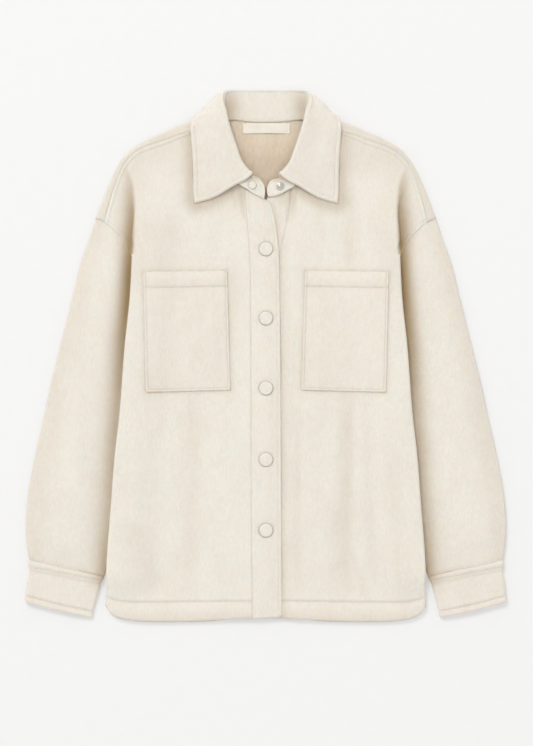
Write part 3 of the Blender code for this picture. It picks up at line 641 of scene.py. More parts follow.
# The back: one half's rows, mirrored and joined in the middle up to the neck, with its lowest middle raised
def makeBack():
    low = np.unique(np.r_[np.linspace(0, 1, 104), lowShares(*np.arange(-349, -334, 1.6))])
    high = np.linspace(0, 1, 42)[1:]
    line = np.asarray(shoulder, float)
    outward = np.gradient(line, axis=0)[:, ::-1] * (-1, 1)
    foldLine = line - outward / np.linalg.norm(outward, axis=1)[:, None] * roll
    cut = shareAt(foldLine, 203)
    sideLine = innerEdge(low, high)
    sideLine[-1] = along(foldLine, [cut])[0]
    columns = spread(185, backSettings["pitch"], low=False, high=False)
    strip = np.linspace(0, 1, 19)[1:]
    neckLine = ((0, 333), (22, 333), (42, 333.5), (54, 335), (60, 341 - roll))
    middle = np.vstack((np.column_stack((0 * low, -373 + 706 * low)), along(neckLine, high)))
    hemRow = along(hem, columns * shareAt(hem, edge[0][0] - roll))
    hemRow[:, 0] *= 1 - (1 - columns) ** 4
    plan = planRegion(middle, sideLine, hemRow, along(foldLine, columns * cut), columns, low, high)
    z = lift(plan[..., 0], plan[..., 1], backSettings["reach"]) + neckRise(plan[..., 0], plan[..., 1])
    ends = np.vstack((alongSide(edge, low), along(armholeBack, high)))
    stripShares = cut + (1 - cut) * strip
    rows = panelRows(plan, z, ends, high, strip, along(foldLine, stripShares), backStrip)
    rows += shoulderRows(foldLine, np.r_[columns * cut, stripShares], rows[-1][:, 2])
    half = np.array(rows)
    rowCount, width = half.shape[:2]
    faces = gridFaces(rowCount, width)
    joined = np.arange(len(low)) * width
    mirrorIndex = np.arange(rowCount * width) + rowCount * width
    mirrorIndex[joined] = joined
    used, faces = np.unique(np.vstack((faces, mirrorIndex[faces[:, ::-1]])), return_inverse=True)
    points = np.vstack((half.reshape(-1, 3), (half * (-1, 1, 1)).reshape(-1, 3)))[used]
    thickness = hemThickness(points[:, 0], points[:, 1])
    points[:, 1] += 8 * hump(points[:, 0], 46) * ease((-340 - points[:, 1]) / 30)
    x, y = np.abs(points[:, 0]), points[:, 1]
    # Painted shade: the inside darker below the neck, and the shoulder rolls darker
    shade = 0.15 * ease((318 - y) / 60) * (x < 80) + 0.15 * (x > 62) * ease((y - 170) / 20)
    # Inner faces in the inside cloth: painted shade
    return clothPiece("back_cloth", points, thickness, shade=shade, faces=faces.reshape(-1, 4)[:, ::-1],
                      inside=shadedInsideCloth)


backSettings = {"pitch": 5.0, "reach": 34}
backCloth = makeBack()
frontRight = makeFront(-1)
frontLeft = makeFront(1)
print("body made")


sleeveSettings = {"pitch": 4.0, "thickness": 8.8, "puff": 4.6, "thin": 3.4, "ripple": 0.4,
                  "seed": {-1: 21, 1: 33}}
sleeveCreases = ((262, 60, 300, -150, 14, 0.5), (235, 60, 262, -230, 11, -0.45),
                 (214, 20, 236, -240, 10, 0.4), (300, -180, 296, -285, 9, -0.5),
                 (318, -190, 314, -285, 8, 0.4),
                 (272, -215, 276, -292, 7, -0.5), (250, -210, 254, -298, 7, 0.4),
                 (236, 186, 214, 120, 7, -0.5), (222, 176, 204, 110, 6, 0.4))
cuffSettings = {"pitch": 1.5, "thickness": 9.8, "wall": 3.2, "hemLine": 9.5}


# Flattened tube over a plan region. Each cross-section runs round the outer fold, under, round the inner fold
# and back over the top: a half circle at each fold, flat below, height(q, v) above at shares across and along
def tubeGrid(outer, inner, first, last, pitch, height):
    v = spread(lengths(outer)[-1], pitch)
    outLine, inLine = along(outer, v)[:, None], along(inner, v)[:, None]
    width = np.linalg.norm(inLine - outLine, axis=2)
    v = v[:, None]
    radiusOut, radiusIn = height(v * 0, v) / 2, height(v * 0 + 1, v) / 2
    turn = np.linspace(0, math.pi, 13)[None]
    top = np.linspace(0, 1, int(width.mean() / pitch))[None, 1:-1]
    near, far = radiusOut / width, 1 - radiusIn / width
    over = near + (far - near) * top
    bendOut = (radiusOut - radiusOut * np.sin(turn)) / width
    bendIn = 1 - (radiusIn - radiusIn * np.sin(turn[:, ::-1])) / width
    q = np.concatenate((bendOut, over, bendIn, over[:, ::-1]), axis=1)
    z = np.concatenate((radiusOut * (1 + np.cos(turn)), over * 0, radiusIn * (1 + np.cos(turn[:, ::-1])),
                        height(over[:, ::-1], v)), axis=1)
    straight = outLine + (inLine - outLine) * q[..., None]
    start = along(first, q) - (outLine[:1] + (inLine[:1] - outLine[:1]) * q[..., None])
    end = along(last, q) - (outLine[-1:] + (inLine[-1:] - outLine[-1:]) * q[..., None])
    plan = straight + start * ((1 - v) ** 3)[..., None] + end * (v ** 3)[..., None]
    return np.dstack((plan, z)), q, z > radiusOut * 1.02


# Sleeve: fullest along its outer half, thinner where it lies under the body
def makeSleeve(side):
    outer, inner, first = (np.asarray(rows) + (-0.5, 0.9) for rows in (sleeveOut, sleeveIn, sleeveTop))
    last = np.array((outer[-1], inner[-1])) + (0.3, -2.4)

    def height(q, v):
        full = np.sin(np.clip(q * 1.2, 0, 1) * math.pi) * ease(v / 0.12) * ease((1 - v) / 0.08)
        tucked = ease((q - 0.46) / 0.34) * ease(v / 0.05)
        return sleeveSettings["thickness"] + sleeveSettings["puff"] * full - sleeveSettings["thin"] * tucked

    points, q, above = tubeGrid(outer, inner, first, last, sleeveSettings["pitch"], height)
    x, y = points[..., 0], points[..., 1]
    low, high = borderGaps(points)[2:]
    relief = sleeveSettings["ripple"] * ripple(x, y, sleeveSettings["seed"][side], 150, 26)
    relief = relief + creases(x, y, sleeveCreases) + 0.7 * hump(high - 4.5, 4) - 0.5 * hump(low - 6, 4)
    points[..., 2] += above * relief * ease((points[..., 2] - 4) / 3) * ease(low / 10)
    points[..., 0] *= side
    # Painted shade: the valley's, darker towards the outer fold, and darker by the cuff
    shade = valleyShade(points) * (points[..., 2] > 4)
    shade = np.maximum(shade, 0.11 * (1 - ease(q / 0.34)) + 0.10 * hump(high - 3, 7))
    drop = rounded((low, 1.4), (high, 1.4))
    name = f"sleeve_cloth_{sideName[side]}"
    return clothPiece(name, points, wall, drop, shade, closed=True, turned=side > 0)


# Cuff: two raised lines below the sleeve, and a stitched line above its rounded lower fold
def makeCuff(side):
    outer, inner, last = (np.asarray(rows) + (0, 1.0) for rows in (cuffOut, cuffIn, cuffEnd))

    def height(q, v):
        return cuffSettings["thickness"] - 1.6 * ease((q - 0.7) / 0.3) + 0 * v

    points, q, above = tubeGrid(outer, inner, (outer[0], inner[0]), last, cuffSettings["pitch"], height)
    low, high = borderGaps(points)[2:]
    first, second, bottom = low - (10 - 4.5 * q), low - (15 - 3.5 * q), high - cuffSettings["hemLine"]
    welt = 1.2 * hump(low - 5.0 + 2 * q, 3.6) - 0.35 * hump(first, 1.2) + 0.3 * hump(first - 2.5, 1.5)
    welt = welt - 0.7 * hump(second - 0.5, 2.6) - 0.8 * hump(bottom, 1.2) + 0.35 * hump(high - 4.6, 3)
    waves = 0.3 * ripple(points[..., 0], points[..., 1], 41 + side, 90, 16)
    drop = rounded((low, 1.4), (high, 2.4)) - welt - waves * above
    points[..., 0] *= side
    # Painted shade: the valley's, a little over all, and more in the welt's grooves, at the seam and on the
    # hem line
    shade = valleyShade(points) * above * ease((points[..., 1] + 345) / 40) + 0.03 + 0.05 * hump(first, 1.8)
    shade = shade + 0.08 * hump(second, 3) + 0.14 * hump(low, 1.6) + 0.12 * hump(bottom, 1.6)
    name = f"cuff_cloth_{sideName[side]}"
    piece = clothPiece(name, points, cuffSettings["wall"], drop, shade, closed=True, turned=side > 0)
    middle = len(above) // 2
    top = above[middle] & (q[middle] > 0.03) & (q[middle] < 0.97)
    for field in (first, bottom):
        seams["arms"].append((piece, zeroLine(points[:, top], field[:, top])))
    return piece


sleeves = [makeSleeve(-1), makeSleeve(1)]
cuffs = [makeCuff(-1), makeCuff(1)]
print("arms made")


snapHeights = (150, 53, -45, -145, -244)
placketSettings = {
    "pitch": 3.0, "fineAcross": 1.6, "top": 10.9, "under": 7.6, "wall": 2.8, "stitch": 5.0, "overlap": 0.9,
    "creases": ((-22, 226, 2, 158, 4.2, -1.8), (-12, 224, 9, 172, 3.4, 1.3), (-25, 228, -18, 190, 2.6, -1.1),
                (-18, 228, -12, 196, 2.0, 0.8), (4, 60, 4, -40, 5, 0.2), (-6, -60, -6, -330, 7, -0.25))}


# Plan of a flat band between two lines that run up the front
def bandPlan(left, right, across):
    a, b = (along(line, spread(590, placketSettings["pitch"]))[:, None] for line in (left, right))
    q = spread(across, placketSettings["fineAcross"])
    return a + (b - a) * q[None, :, None]


# Line of a seam on one side, moved a little over the front, with its lowest point at a given place
def placketLine(seam, side, lowPoint):
    return [lowPoint] + [(side * (x + placketSettings["overlap"]), y) for x, y in seam[1:]]


# The two bands: the top one has dimples round the snaps, a rounded lower corner and a stitched free edge
def makePlackets():
    plan = bandPlan(placketLine(rightSeam, -1, (-19.2, -368.4)), topFree, 41)
    x, y = plan[..., 0], plan[..., 1]
    z = placketSettings["top"] + 0.35 * ripple(x, y, 51, 120, 18) + creases(x, y, placketSettings["creases"])
    for height in snapHeights:
        z = z - 0.9 * hump(np.hypot(x, y - height) - 9.5, 2.6)
    points = np.dstack((plan, z))
    left, right, bottom = borderGaps(points)[:3]
    points[..., 1] += 0.35 * np.maximum(6 - right, 0) * np.maximum(6 - bottom, 0) / 6
    fromStitch = right - placketSettings["stitch"]
    drop = rounded((left, 0.8), (right, 2.8), (bottom, 2.4)) - 0.5 * hump(left - 3.4, 1.8)
    drop = drop - 0.3 * hump(right - 2.2, 1.6) + 0.15 * hump(fromStitch, 1.1)
    # Painted shade along the left seam, on the stitch line and in a band inside the free edge
    shade = 0.16 * hump(left, 1.6) + 0.04 * hump(fromStitch, 1.6) + 0.03 * hump(right - 12, 6)
    top = clothPiece("placket_cloth_top", points, placketSettings["wall"], drop, shade)
    seams["plackets"].append((top, crossLine(points, fromStitch)))
    plan = bandPlan(underFree, placketLine(leftSeam, 1, (17.5, -368)), 33)
    z = placketSettings["under"] + creases(plan[..., 0], plan[..., 1], leftPuckers)
    points = np.dstack((plan, z))
    left, right, bottom = borderGaps(points)[:3]
    drop = rounded((left, 2.0), (right, 1.0), (bottom, 2.0)) - 0.5 * hump(right - 3.2, 1.6)
    return top, clothPiece("placket_cloth_under", points, wall, drop, contactShade(points, 1))


# Flat size and lines of a pocket, and its creases
pocketSettings = {
    "across": 117.5, "tall": 169.0, "hemLine": 22.5, "border": 3.6, "corner": 4.5,
    "creases": {-1: ((-150, 80, -130, -30, 16, 0.5), (-80, 60, -95, -30, 12, -0.35)),
                1: ((60, 92, 116, 36, 12, -0.7), (112, 60, 106, -40, 14, -0.7), (84, 70, 80, -30, 12, 0.5),
                    (140, 80, 146, -30, 12, 0.4))}}


# Patch pocket on the front: raised border, stitch groove inside it, and a hem line below its open top
def makePocket(side):
    across, tall, hemDepth, border, radius = (
        pocketSettings[key] for key in ("across", "tall", "hemLine", "border", "corner"))
    u, v = np.meshgrid(withLines(spread(across, 2.8), across, (border, across - border)) * across,
                       withLines(spread(tall, 2.8), tall, (border, tall - hemDepth)) * tall)
    a, b = (np.maximum(radius - np.minimum(w, size - w), 0) for w, size in ((u, across), (v, tall)))
    pull = np.where((a > 0) & (b > 0), 1 - np.maximum(a, b) / np.maximum(np.hypot(a, b), 1e-6), 0)
    u = u + np.sign(across / 2 - u) * a * pull
    v = v + np.sign(tall / 2 - v) * b * pull
    s, t = (u / across)[..., None], (v / tall)[..., None]
    corners = np.asarray(pocketCorners, float) * (side, 1)
    plan = (corners[3] * (1 - s) + corners[2] * s) * (1 - t) + (corners[0] * (1 - s) + corners[1] * s) * t
    x, y = plan[..., 0], plan[..., 1]
    sides, fromTop = np.minimum(np.minimum(u, across - u), v), tall - v
    swell = 1.0 * ease(sides / 26) * ease(fromTop / 12)
    z = frontHeight(x, y, side) + 2.1 + swell + creases(x, y, pocketSettings["creases"][side])
    z = z + 0.25 * ripple(x, y, 60 + side, 100, 18) + 0.9 * hump(fromTop - 11, 8) * ease(sides / 6)
    z = z - 0.5 * hump(sides - border, 1.0) - 0.6 * hump(fromTop - hemDepth, 1.3)
    rim = np.minimum(sides, fromTop)
    drop = rounded((rim, 1.7)) - 0.4 * hump(sides - 1.9, 1.2)
    # Painted shade: a little over all, more on the border's groove, the hem line and the rounded rim
    shade = 0.03 + 0.07 * hump(sides - border, 1.6) + 0.14 * hump(fromTop - hemDepth, 1.8)
    shade = shade + 0.12 * hump(rim, 1.1)
    points = np.dstack((plan, z))
    name = f"pocket_cloth_{sideName[side]}"
    piece = clothPiece(name, points, wall + swell + 0.4, drop, shade, turned=side < 0)
    inner = (u[0] >= border) & (u[0] <= across - border)
    low = v[:, 0] >= border
    for line in (zeroLine(points[:, inner], v[:, inner] - border),
                 zeroLine(points[:, inner], tall - hemDepth - v[:, inner]),
                 crossLine(points[low], u[low] - border),
                 crossLine(points[low], across - border - u[low])):
        seams["pockets"].append((piece, line))
    return piece


plackets = makePlackets()
pockets = [makePocket(-1), makePocket(1)]
print("plackets and pockets made")


# Collar, one half, a row for each station from the middle of the back to the front end.
# turn is how far the fold has rolled over: 0 behind the neck, 180 where the wing lies on the front
#     fold x, y, z, turn, seam x, y, z, upper x, y, z, lower x, y, z, edge x, y, z
collarTable = (
    (0.0, 368.8, 4.5, 0, 0, 327.5, 7.8, 0, 352, 1.3, 0, 331, 1.3, 0, 310, 1.3),
    (24.0, 368.8, 4.5, 0, 22, 328, 7.8, 24, 352, 1.3, 23, 331, 1.3, 22, 310, 1.3),
    (45.0, 368.8, 5.1, 8, 38, 330, 7.8, 43, 353, 1.3, 41, 332, 1.3, 39, 311, 1.3),
    (57.0, 367.2, 8.6, 40, 49, 331, 8.6, 66, 366.2, 2.2, 57, 340, 1.3, 54, 313, 1.3),
    (60.8, 360.0, 13.2, 85, 56, 330, 12.2, 73, 359.5, 7.5, 78, 351, 1.6, 72, 316, 1.3),
    (60.8, 349.0, 16.8, 125, 63, 328, 15.0, 81, 350, 13.5, 89, 344, 3.5, 84, 322, 1.3),
    (59.4, 344.5, 17.6, 135, 66, 325.5, 15.0, 80.5, 345, 15.2, 92, 340, 7.5, 94, 336, 1.8),
    (58.5, 340.0, 18.2, 145, 69, 322, 14.8, 80, 339.5, 16.6, 95, 337, 12.5, 101, 332.5, 6.5),
    (57.0, 331.0, 18.8, 155, 72, 314, 14.0, 76, 331, 18.0, 92, 329, 15.4, 105, 323, 14.1),
    (52.0, 313.0, 18.8, 162, 73, 299, 14.3, 72, 311, 18.6, 90, 310, 16.2, 105, 307, 13.8),
    (43.0, 286.6, 18.0, 165, 68, 282, 13.8, 65, 284, 18.2, 85, 283, 15.8, 103, 280, 13.3),
    (37.6, 272.0, 17.0, 167, 61, 266, 12.2, 60, 267, 17.2, 82, 260, 13.2, 102, 252, 11.3),
    (29.0, 260.0, 16.2, 170, 52, 253, 12.2, 55, 251, 16.4, 79, 240, 12.4, 102, 230, 10.6),
    (21.0, 252.2, 15.8, 172, 41, 243, 12.6, 47, 236.8, 16.0, 75, 220.8, 11.8, 100.5, 213.4, 10.7),
)
# Rounded ends of the stand beyond the wings: upper x, y, lower x, y
standEnds = {-1: ((17, 252, 36, 239), (10, 249.5, 27, 233.5), (5, 244, 17, 227), (2, 237, 8, 222.5),
                  (1.2, 228, 2.5, 219.5)),
             1: ((19, 249.5, 40, 238), (12, 248, 30, 232), (6, 245, 18, 226), (2, 238, 9, 223.8),
                 (1.2, 229, 2.8, 223))}
collarSettings = {"fold": 3.2, "stitch": 6.6, "endHeight": 12.6, "endDrop": {-1: 0.0, 1: 2.6}, "ripple": 0.5,
                  "wall": 1.3, "length": 95, "fallRows": 34, "fallStations": 170, "standGrid": (44, 190)}


# A finer grid through control points, cubic between them in both directions
def refine(grid, rows, columns):
    for axis, count in ((0, rows), (1, columns)):
        grid = np.moveaxis(grid, axis, 0)
        table = grid.reshape(len(grid), -1)
        fine = readAt(table, np.arange(len(grid)), np.linspace(0, len(grid) - 1, count))
        grid = np.moveaxis(fine.reshape(count, *grid.shape[1:]), 0, axis)
    return grid


# Collar stations of one half, smooth from the middle of the back to the front end
def collarStations(count):
    rows = np.asarray(collarTable, float)
    mirror = rows[1:3][::-1].copy()
    mirror[:, (0, 4, 7, 10, 13)] *= -1
    rows = np.vstack((mirror, rows))
    s = lengths(rows[:, :3])
    stations = np.linspace(0, len(collarTable) - 1, count + 1)
    return readAt(rows, s, np.interp(stations, np.arange(len(collarTable)), s[2:]))


# Points of the round fold at angles from its crown towards the stand
def foldRows(stations, degrees):
    tangent = np.gradient(stations[:, :3], axis=0)
    tangent[0] = (1, 0, 0)
    tangent /= np.linalg.norm(tangent, axis=1)[:, None]
    out = np.cross((0.0, 0.0, 1.0), tangent)
    out /= np.linalg.norm(out, axis=1)[:, None]
    high = np.cross(tangent, out)
    turn = np.radians(stations[:, 3])[:, None]
    crown, toStand = np.cos(turn) * out + np.sin(turn) * high, np.cos(turn) * high - np.sin(turn) * out
    return [stations[:, :3] + collarSettings["fold"] * (math.cos(a) * crown + math.sin(a) * toStand)
            for a in np.radians(degrees)]


# Half of the fall: round the fold, then through the upper and lower lines to the edge
def fallHalf():
    length, inset = collarSettings["length"], collarSettings["stitch"]
    stations = collarStations(collarSettings["fallStations"])
    rows = foldRows(stations, np.linspace(15, -90, 13))
    chain = np.stack((rows[-3], rows[-1], stations[:, 7:10], stations[:, 10:13], stations[:, 13:16]), 1)
    parts = np.linalg.norm(np.diff(chain, axis=1), axis=2)
    first = parts[:, 0] / parts.sum(axis=1)
    pitch = length / collarSettings["fallRows"]
    share = withLines(spread(length, pitch, low=False), length, (length - inset,))[1:]
    free = np.array([along(line, start + (1 - start) * share) for line, start in zip(chain, first)])
    half = np.concatenate((np.array(rows), np.moveaxis(free, 0, 1)), axis=0)
    half[..., 2] = np.maximum(half[..., 2], collarSettings["wall"])
    return half


# Half of the stand: from the fold's crown to its seam, then the rounded end that lies on the placket
def standHalf(side):
    stations = collarStations(16)
    drop, endHeight = collarSettings["endDrop"][side], collarSettings["endHeight"]
    rows = foldRows(stations, (15, 40, 64, 88))
    seam = stations[:, 4:7].copy()
    seam[:, 2] -= drop * ease((260 - seam[:, 1]) / 30) + 1.3 * ease((seam[:, 1] - 322) / 6)
    rows += [rows[3] + (seam - rows[3]) * share for share in (0.5, 1.0)]
    ends = np.asarray(standEnds[side], float)
    level = np.interp(np.arange(len(ends)), (0, 2), (endHeight + 0.8, endHeight)) - drop
    end = np.array([np.column_stack((ends[:, :2] + (ends[:, 2:] - ends[:, :2]) * share, level))
                    for share in np.linspace(0, 1, len(rows))])
    return refine(np.concatenate((np.array(rows), end), axis=1), *collarSettings["standGrid"])


# Both halves of the collar in one grid, and for its points the least distance to either end
def mirrored(rightHalf, leftHalf):
    points = np.concatenate(((rightHalf * (-1, 1, 1))[:, ::-1], leftHalf[:, 1:]), axis=1)
    left, right, low, high = borderGaps(points)
    return points, left, right, low, high, np.minimum(left, right)


# Collar fall in one piece round the neck, with a stitch groove inside its three outer edges
def makeFall():
    half, inset = fallHalf(), collarSettings["stitch"]
    points, left, right, low, high, toEnd = mirrored(half, half)
    x, y = points[..., 0], points[..., 1]
    onWing = ease((np.abs(x) - 60) / 14) * ease((345 - y) / 20)
    rim = np.minimum(toEnd, high)
    relief = collarSettings["ripple"] * ripple(x, y, 71, 90, 18) * ease((low - 4) / 10) * onWing
    relief = relief + 0.7 * hump(rim - 3.4, 2.6) - 0.4 * hump(rim - inset, 1.1)
    relief = relief + 0.8 * hump(rim - 18, 12) * onWing
    drop = rounded((rim, 1.9)) - relief - collarSettings["wall"]
    # Painted shade: a little over all, more on the wing's stitch line and rounded rim
    shade = 0.03 + onWing * (0.03 * hump(rim - inset, 1.8) + 0.10 * hump(rim, 1.5))
    piece = clothPiece("collar_cloth_fall", points, collarSettings["wall"], drop, shade)
    rows = (high[:, 0] > inset) & (np.arange(len(high)) > 14)
    for edgeGap, columns in ((left, x[-1] < -60), (right, x[-1] > 60)):
        inner = columns & (edgeGap[-1] > inset) & (points[-1, :, 2] > 9)
        for line in (zeroLine(points[:, inner], high[:, inner] - inset),
                     crossLine(points[rows], edgeGap[rows] - inset)):
            seams["collar"].append((piece, line))
    return piece


# Collar stand with its rounded ends; a stitch groove follows its lower seam and the ends
def makeStand():
    points, _, _, low, high, toEnd = mirrored(standHalf(-1), standHalf(1))
    x, y = points[..., 0], points[..., 1]
    rim, endRim = np.minimum(toEnd, high), np.minimum(toEnd, low)
    atEnd = ease((34 - toEnd) / 8)
    relief = 0.5 * hump(rim - 3.6, 2.0) - 0.5 * hump(endRim - 4.0, 0.9) * atEnd
    relief = relief + 0.25 * ripple(x, y, 81, 60, 14)
    drop = rounded((high, 1.0)) + rounded((endRim, 2.0)) * atEnd - relief - collarSettings["wall"]
    # Painted shade: deep at the corners under the fold, on the neck seam at the back, and along its sides
    # under the wings
    shade = 0.45 * hump(np.hypot(np.abs(x) - 52, (y - 348) * 0.6), 14)
    shade = shade + 0.12 * hump(y - 328, 5) * (np.abs(x) < 60)
    shade = shade + 0.3 * ease((y - 240) / 10) * ease((310 - y) / 20)
    return clothPiece("collar_cloth_stand", points, collarSettings["wall"], drop, shade)


collarPieces = [makeFall(), makeStand()]
print("collar made")


# Snaps: the small cap's share of the others' size, where the pieces stand, and profiles in rows of radius and
# height. A cap rises round its edge and over a low rim to a shallow dish and a faint dome
snapSettings = {
    "sides": 48, "smallRadius": 0.585, "smallHeight": 0.75, "base": 10.7,
    "standCap": (-19, 239, 14.6), "stud": (20, 237.5, 12.0), "grooveTop": 0.9, "grooveStart": 0.91,
    "capProfile": ((0.01, 0.0), (9.6, 0.0), (10.0, 0.1), (10.1, 0.35), (9.9, 0.55), (9.45, 0.62), (9.3, 0.8),
                   (9.35, 1.2), (9.15, 1.7), (8.7, 2.05), (8.1, 2.25), (7.4, 2.33), (6.8, 2.3), (5.5, 2.36),
                   (4.0, 2.44), (2.0, 2.5), (0.01, 2.52)),
    "studProfile": ((0.01, 0), (5.2, 0), (5.5, 0.25), (5.5, 0.6), (5.1, 1.0), (4.2, 1.1), (3.3, 0.95),
                    (2.7, 1.0), (2.35, 1.4), (2.2, 2.1), (2.3, 2.5), (2.0, 2.85), (1.2, 3.0), (0.01, 3.0))}


# Round piece turned from a profile about an upright axis, with painted shade in the groove round its foot
def turnedPiece(name, profile, place, material):
    radius, height = np.asarray(profile, float).T[..., None]
    a = np.linspace(0, 2 * math.pi, snapSettings["sides"], endpoint=False)
    points = np.dstack((radius * np.cos(a), radius * np.sin(a), height + 0 * a)) + np.asarray(place)
    inGroove = (radius > snapSettings["grooveStart"] * radius.max()) & (height < snapSettings["grooveTop"])
    dark = np.broadcast_to(inGroove, points.shape[:2])
    return meshObject(name, points, gridFaces(*points.shape[:2], closed=True), material, dark)


# Enamelled cap: pale colour with faint mottling, painted shade low on its edge, and fine scratches in its
# gloss
def capMaterial():
    material, tree, shader, place = newMaterial("cap enamel")
    mottle, fine = grainNoise(tree, place, 160, 3), grainNoise(tree, place, 1400, 3)
    colour = tint(tree, mixIn(tree, mottle, 0.5, 0.5), (0.80, 0.765, 0.70, 1), (0.73, 0.69, 0.615, 1))
    # rim: the painted shade round the cap's foot
    rim = addNode(tree, "ShaderNodeAttribute", {}, attribute_name="shade").outputs["Fac"]
    setInputs(tree, shader, {"Base Color": tint(tree, rim, colour, (0.50, 0.44, 0.36, 1)),
                             "Roughness": mixIn(tree, fine, 0.06, 0.42),
                             "Normal": bumpNormal(tree, 0.08, 0.0002, fine)})
    return material


def metalMaterial():
    material, tree, shader, place = newMaterial("stud metal")
    rough = mixIn(tree, grainNoise(tree, place, 1800, 3), 0.08, 0.28)
    setInputs(tree, shader, {"Base Color": (0.62, 0.61, 0.58, 1), "Metallic": 1.0, "Roughness": rough})
    return material


# Five caps on the placket, a smaller one on the stand's right end and the stud on its left end
def makeSnaps():
    enamel, profile = capMaterial(), snapSettings["capProfile"]
    caps = [turnedPiece(f"snap_cap_{number}", profile, (0, height, snapSettings["base"]), enamel)
            for number, height in enumerate(snapHeights, 1)]
    small = np.array(profile) * (snapSettings["smallRadius"], snapSettings["smallHeight"])
    caps.append(turnedPiece("snap_cap_stand", small, snapSettings["standCap"], enamel))
    metal = metalMaterial()
    return caps, turnedPiece("stud_metal_stand", snapSettings["studProfile"], snapSettings["stud"], metal)


snapCaps, stud = makeSnaps()
labelSettings = {"width": 67, "height": 17.5, "left": -33, "low": 311.5, "level": 6.95, "tuck": 13.5,
                 "wall": 0.9, "fullHeight": 15}


# Satin with fine ribs along the label and faint clouds in its colour
def labelMaterial():
    material, tree, shader, place = newMaterial("label satin")
    ribs = addNode(tree, "ShaderNodeTexWave", {"Vector": place, "Scale": 420.0, "Distortion": 0.6,
                                               "Detail": 2.0}, bands_direction="Y").outputs["Fac"]
    cloud = mixIn(tree, grainNoise(tree, place, 90, 3), 0.4, 0.5)
    setInputs(tree, shader, {"Base Color": tint(tree, cloud, (0.82, 0.775, 0.69, 1), (0.74, 0.69, 0.59, 1)),
                             "Normal": bumpNormal(tree, 0.25, 0.0002, ribs), "Roughness": 0.48,
                             "Sheen Weight": 0.15})
    return material


# Label: a ribbon tacked at its ends, its lower edge lifted a little between them, its top under the stand
def makeLabel():
    width, height = labelSettings["width"], labelSettings["height"]
    u, v = np.meshgrid(spread(width, 1.4) * width, spread(height, 1.0) * height)
    up = v / labelSettings["fullHeight"]
    ends = np.minimum(u, width - u)
    x = labelSettings["left"] + u + 0.4 * np.sin(up * math.pi) * np.where(u < 33, 1, -1) * hump(ends, 4)
    y = labelSettings["low"] + v + 0.5 * np.sin(u / width * math.pi) * (1 - up) - 0.4 * hump(ends - 3.2, 2)
    z = labelSettings["level"] + 0.8 * ease(ends / 16) * (1 - v / 22) - 0.7 * hump(ends - 3.2, 0.9)
    z = z - 2.0 * ease((v - labelSettings["tuck"]) / 4) + 0.15 * ripple(x, y, 91, 30, 8)
    drop = rounded((np.minimum(ends, v), 0.5))
    return clothPiece("label_satin_neck", np.dstack((x, y, z)), labelSettings["wall"], drop,
                      material=labelMaterial())


label = makeLabel()
print("snaps and label made")


# Rows of stitches in millimetres; a stitch's ends are sunk in the cloth and its middle rises from it
stitchSettings = {"pitch": 4.3, "length": 3.2, "radius": 0.36, "rise": 0.10, "sink": 0.42, "rings": 7,
                  "sides": 6}


# First, middle and last points of the stitches on some lines, dropped on to the cloth below them
def stitchPoints(rows):
    half = stitchSettings["length"] / 2
    groups = []
    for piece, line in rows:
        tree = BVHTree.FromObject(piece, bpy.context.evaluated_depsgraph_get())
        s = lengths(line[:, :2])
        at = np.arange(stitchSettings["pitch"] / 2, s[-1] - half, stitchSettings["pitch"])
        dropped = []
        for shift in (-half, 0, half):
            plan = np.column_stack([np.interp(at + shift, s, line[:, k]) for k in (0, 1)])
            hits = [tree.ray_cast((x * mm, y * mm, 0.08), (0, 0, -1))[0] for x, y in plan]
            dropped.append(np.array([(*p, hit.z / mm if hit else np.nan) for p, hit in zip(plan, hits)]))
        found = np.array(dropped)
        groups.append(found[:, ~np.isnan(found[..., 2]).any(axis=0)])
    return np.concatenate(groups, axis=1)


# Stitches of some lines as one mesh. Each is a capsule: its middle line is a parabola through three points,
# and its radius is r * (1 - 0.98 * t^4), with t from -1 to 1 along it
def makeStitches(name, rows):
    rings, sides, rise = (stitchSettings[key] for key in ("rings", "sides", "rise"))
    first, middle, last = stitchPoints(rows)[:, :, None, None]
    t = np.linspace(-1, 1, rings)[:, None, None]
    turn = np.linspace(0, 2 * math.pi, sides, endpoint=False)[:, None]
    ahead = last - first
    up = np.array((0.0, 0.0, 1.0))
    aside = np.cross(ahead, up)
    aside /= np.linalg.norm(aside, axis=-1, keepdims=True)
    centre = middle + ahead / 2 * t + ((first + last) / 2 - middle) * t ** 2
    radius = stitchSettings["radius"] * (1 - 0.98 * t ** 4)
    points = centre + up * (rise - (rise + stitchSettings["sink"]) * t ** 2)
    points = points + radius * (aside * np.cos(turn) + up * np.sin(turn))
    one = gridFaces(rings, sides, closed=True, turned=True)
    count = len(points)
    faces = (one + np.arange(count)[:, None, None] * rings * sides).reshape(-1, 4)
    print(name, count)
    # Stitches in the valley take its painted shade
    return meshObject(name, points, faces, thread, valleyShade(points))


sewing = [makeStitches(f"stitches_{name}", rows) for name, rows in seams.items()]


floorSettings = {"reach": 6, "speckle": 60.0, "glow": 0.27, "light": (0.58, 0.583, 0.588, 1),
                 "lighter": (0.60, 0.603, 0.608, 1)}


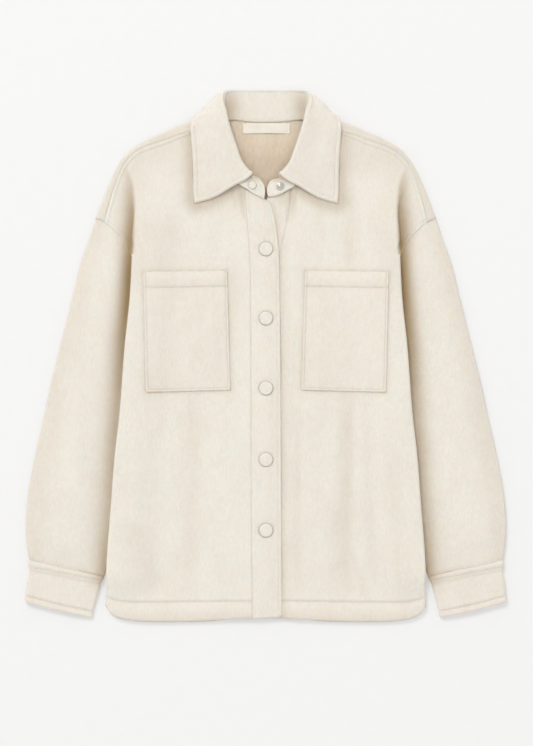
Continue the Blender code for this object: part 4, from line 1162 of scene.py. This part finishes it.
# Pale floor below the garment, which gives a little light of its own
def makeFloor():
    material, tree, shader, place = newMaterial("pale floor")
    speck = addNode(tree, "ShaderNodeTexNoise",
                    {"Vector": place, "Scale": floorSettings["speckle"], "Detail": 4.0})
    colour = tint(tree, speck.outputs[0], floorSettings["light"], floorSettings["lighter"])
    setInputs(tree, shader, {"Base Color": colour, "Roughness": 0.9, "Emission Color": (1, 1, 1, 1),
                             "Emission Strength": floorSettings["glow"]})
    mesh = bpy.data.meshes.new("floor")
    corners = [(x * floorSettings["reach"], y * floorSettings["reach"], 0)
               for x, y in ((-1, -1), (1, -1), (1, 1), (-1, 1))]
    mesh.from_pydata(corners, [], [(0, 1, 2, 3)])
    mesh.materials.append(material)
    floor = bpy.data.objects.new("floor", mesh)
    bpy.context.scene.collection.objects.link(floor)


lightSettings = {"place": (-2.6, 5.2, 6.6), "size": 2.6, "power": 265, "colour": (1.0, 0.995, 0.985),
                 "skyColour": (1.0, 0.99, 0.97, 1), "skyStrength": 0.845}


# Large soft light that hangs at a point in metres and looks at the origin, and an even sky
def makeLights():
    data = bpy.data.lights.new("key", "AREA")
    data.size = lightSettings["size"]
    data.energy = lightSettings["power"]
    data.color = lightSettings["colour"]
    lamp = bpy.data.objects.new("key", data)
    lamp.location = lightSettings["place"]
    lamp.rotation_mode = "QUATERNION"
    lamp.rotation_quaternion = (-Vector(lightSettings["place"])).to_track_quat("-Z", "Y")
    bpy.context.scene.collection.objects.link(lamp)
    world = bpy.data.worlds.new("world")
    bpy.context.scene.world = world
    world.use_nodes = True
    sky = {"Color": lightSettings["skyColour"], "Strength": lightSettings["skyStrength"]}
    setInputs(world.node_tree, world.node_tree.nodes["Background"], sky)


makeFloor()
makeLights()
bpy.context.scene.view_settings.view_transform = "Standard"

# Each sewn piece, the node that it replaces, and its cut's flat width, length and area in metres
cuts = ((backCloth, "back", 0.48, 0.745, 0.318),
        (frontRight, "front_right", 0.215, 0.73, 0.134), (frontLeft, "front_left", 0.215, 0.73, 0.134),
        (sleeves[0], "sleeve_right", 0.25, 0.52, 0.109), (sleeves[1], "sleeve_left", 0.25, 0.52, 0.109),
        (cuffs[0], "cuff_right", 0.225, 0.062, 0.0128), (cuffs[1], "cuff_left", 0.225, 0.062, 0.0128),
        (plackets[0], "placket_top", 0.046, 0.605, 0.0263),
        (plackets[1], "placket_under", 0.038, 0.605, 0.0218),
        (pockets[0], "pocket_right", 0.122, 0.174, 0.0211),
        (pockets[1], "pocket_left", 0.122, 0.174, 0.0211),
        (collarPieces[0], "collar_fall", 0.44, 0.10, 0.0289),
        (collarPieces[1], "collar_stand", 0.43, 0.043, 0.0149),
        (label, "neck_label", 0.068, 0.018, 0.0012))
for piece, node, width, length, area in cuts:
    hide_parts(node)
for piece, node in zip((*snapCaps, stud), (*(f"snap_{n}" for n in range(1, 6)), "snap_stand", "stud_stand")):
    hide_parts(node)
slots = {"cloth": (*(row[0] for row in cuts[:-1]), *sewing), "snap_cap": snapCaps, "snap_metal": (stud,),
         "label_satin": (label,)}
for slotName, pieces in slots.items():
    for piece in pieces:
        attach(piece, "root")


print("finished")
